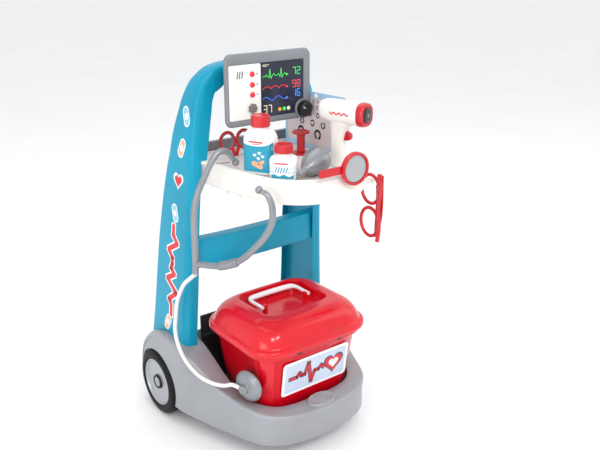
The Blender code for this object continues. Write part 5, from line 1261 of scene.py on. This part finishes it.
sweep = np.linspace(-0.0150, 0.0180, 34)
printed("gun_wave", [stroke(np.stack((sweep, 0.0016 * np.sin(sweep * 700.0)), 1), 0.0018)],
        lifted(on_gun, 0.0003),
        sticker_red, "thermometer", "thermometer_body")
printed("gun_lens_dot", [pill(0.0, 0.0, 0.0062, 0.0062)], lambda u, v,
        h: gun(np.stack((u, np.full(np.shape(u), -0.0432) - h, v), -1)),
        liner_grey, "thermometer", "thermometer_window")


# ---------------------------------------------------------------- eye chart
# Printed card along the right side of the tray, pinned at the top: rows of broken rings that grow line
# by line.
card = moulded("chart_card", ink(170, 206, 236), 0.42, 0.10, pits=1600.0, mottle=0.02)
card_field = moulded("chart_field", ink(226, 214, 216), 0.45, 0.10, pits=1600.0, mottle=0.025)
outline = eased([(-0.2080, 0.4673), (-0.2080, 0.5553), (-0.2050, 0.5583), (-0.0960, 0.5563),
                 (-0.0540, 0.5363), (-0.0540, 0.4623), (-0.1500, 0.4623),
                 (-0.1520, 0.4673)], 0.0020, 6)
card_rows = [np.column_stack((np.full(len(outline), x), outline)) for x in (0.0814, 0.0826)]
on(skin("chart_sheet", card_rows, card), "trolley", "eye_chart")


def on_chart(u, v, height):
    return np.stack((np.full(np.shape(u), 0.0814) - height, np.asarray(u, float), np.asarray(v, float)), -1)


printed("chart_field", [rounded(-0.2035, -0.0980, 0.4715, 0.5470, 0.003),
                        rounded(-0.0985, -0.0600, 0.4715, 0.5300,
                                0.003)], on_chart, card_field, "trolley", "eye_chart")
optotypes = []
for row, (v, size, step, many) in enumerate(((0.5425, 0.0048, 0.0110, 9), (0.5325, 0.0064, 0.0150, 7),
                                             (0.5205, 0.0084, 0.0200, 5),
                                             (0.5065, 0.0108, 0.0270, 4), (0.4895, 0.0165, 0.0430, 3))):
    for k in range(many):
        u = -0.1400 + (k - (many - 1) / 2.0) * step
        gap = (k * 3 + row * 2) % 4 * np.pi / 2
        t = np.linspace(gap + 0.42, gap + 2 * np.pi - 0.42, 22)
        arc = np.stack((u + 0.4 * size * np.cos(t), v + 0.4 * size * np.sin(t)), 1)
        optotypes += drawn(arc, size * 0.2)
printed("chart_rings", optotypes, lifted(on_chart, 0.0001), dark_ink, "trolley", "eye_chart")
pin = [(0.0020, 0.0), (0.0036, 0.0001), (0.0041, 0.0005), (0.0042, 0.0010), (0.0037, 0.0017),
       (0.0026, 0.0022), (0.0008, 0.0024)]
on(skin("pin_head", lathe(pin, (0.0811, -0.1359, 0.5511), (-1, 0, 0), 40), panel_white), "trolley",
   "chart_pin")


# ---------------------------------------------------------------- glasses
# Red play glasses hung by one lens ring on the hook at the tray's right side; both temples are folded.
at = np.array((0.1190, -0.2280, 0.3850))
t = np.linspace(0.0, 2.0 * np.pi, 80, endpoint=False)
a = np.linspace(0.0, 2.0 * np.pi, 16, endpoint=False)
out = np.stack((0 * t, np.cos(t), np.sin(t)), 1)
glasses = None
for side in (-1.0, 1.0):
    centre = at + np.stack((0 * t, 0.0205 * np.cos(t), 0.0275 * side + 0.0235 * np.sin(t)), 1)
    outward = out[:, None] * 0.0029 * np.cos(a)[None, :, None]
    ring = centre[:, None] + outward + np.array((1, 0, 0)) * 0.0026 * np.sin(a)[None, :, None]
    if glasses is None:
        glasses = skin("glasses_frame", ring, play_red, ring=True)
    else:
        carve(glasses, ring, "UNION", ring=True)
brow = through([at + np.array((0, y, z)) for y, z in ((-0.0190, -0.0560), (-0.0215, -0.0300),
                                                      (-0.0185, 0.0), (-0.0215, 0.0300),
                                                      (-0.0190, 0.0560))], 10)
carve(glasses, swept(brow, 0.0036, 20), "UNION")
on(glasses, "glasses", "glasses_front")
for name, body, side in (("upper", "temple_high", 1.0), ("lower", "temple_low", -1.0)):
    start = at + np.array((0.0064, -0.0135 - 0.0035 * side, side * 0.0525))
    line = through([start + np.array((x, 0.0, -side * down)) for down,
                    x in ((0.0, 0.0), (0.018, 0.0003), (0.045, 0.0012), (0.062, 0.0010),
                                                                           (0.076, 0.0),
                                                                                   (0.088, -0.002))], 8)
    broad = resample([0.0050, 0.0052, 0.0050, 0.0044, 0.0036, 0.0024], len(line))[:, None]
    thin = resample([0.0020, 0.0020, 0.0019, 0.0019, 0.0018, 0.0014], len(line))[:, None]
    rows = np.stack((line[:, :1] + thin * np.cos(a), line[:, 1:2] + broad * np.sin(a),
                     np.repeat(line[:, 2:], len(a), 1)), -1)
    on(skin(f"temple_{name}", rows, play_red), body, f"glasses_temple_{name}")


# ---------------------------------------------------------------- floor and lamps
# White paper floor, and the soft lamps that light the cart.
paper = Finish("white_paper", Roughness=0.75)
paper.feed("Base Color", paper.mix(paper.noise(2.5, 4.0), ink(240, 240, 241), ink(247, 247, 247)))
paper.bump(paper.noise(320.0, 4.0), 0.03, 0.0004)
span = np.linspace(-12.0, 12.0, 9)
gx, gy = np.meshgrid(span, span)
grid = np.stack((gx, gy, np.zeros_like(gx)), -1).reshape(-1, 3)
cell = np.arange(81).reshape(9, 9)
cells = np.stack((cell[:-1, :-1], cell[:-1, 1:], cell[1:, 1:], cell[1:, :-1]), -1).reshape(-1, 4)
sheet = bpy.data.meshes.new("floor")
sheet.from_pydata(grid.tolist(), [], cells.tolist())
sheet.materials.append(paper.material)
floor = bpy.data.objects.new("floor", sheet)
scene.collection.objects.link(floor)


def softbox(name, place, aim, size, watts):
    lamp = bpy.data.lights.new(name, "AREA")
    lamp.shape, lamp.size, lamp.size_y, lamp.energy = "RECTANGLE", size[0], size[1], watts
    obj = bpy.data.objects.new(name, lamp)
    obj.location = place
    obj.rotation_euler = (Vector(aim) - Vector(place)).to_track_quat("-Z", "Y").to_euler()
    scene.collection.objects.link(obj)


softbox("key_near", (-0.95, -1.70, 1.95), (0.0, 0.0, 0.25), (0.5, 0.5), 10.0)
softbox("key_far", (-0.20, -2.00, 2.05), (0.0, 0.0, 0.25), (0.5, 0.5), 11.0)
softbox("side", (-2.2, -0.9, 0.8), (0.0, 0.0, 0.25), (1.2, 1.2), 12.0)
softbox("fill", (1.9, -1.0, 1.4), (0.0, 0.0, 0.25), (1.4, 1.4), 6.0)
softbox("top", (0.2, 0.6, 2.4), (0.0, 0.0, 0.2), (1.8, 1.8), 9.0)
world = bpy.data.worlds.new("studio")
scene.world = world
world.use_nodes = True
world.node_tree.nodes["Background"].inputs[0].default_value = ink(250, 251, 252)
world.node_tree.nodes["Background"].inputs[1].default_value = 1.0
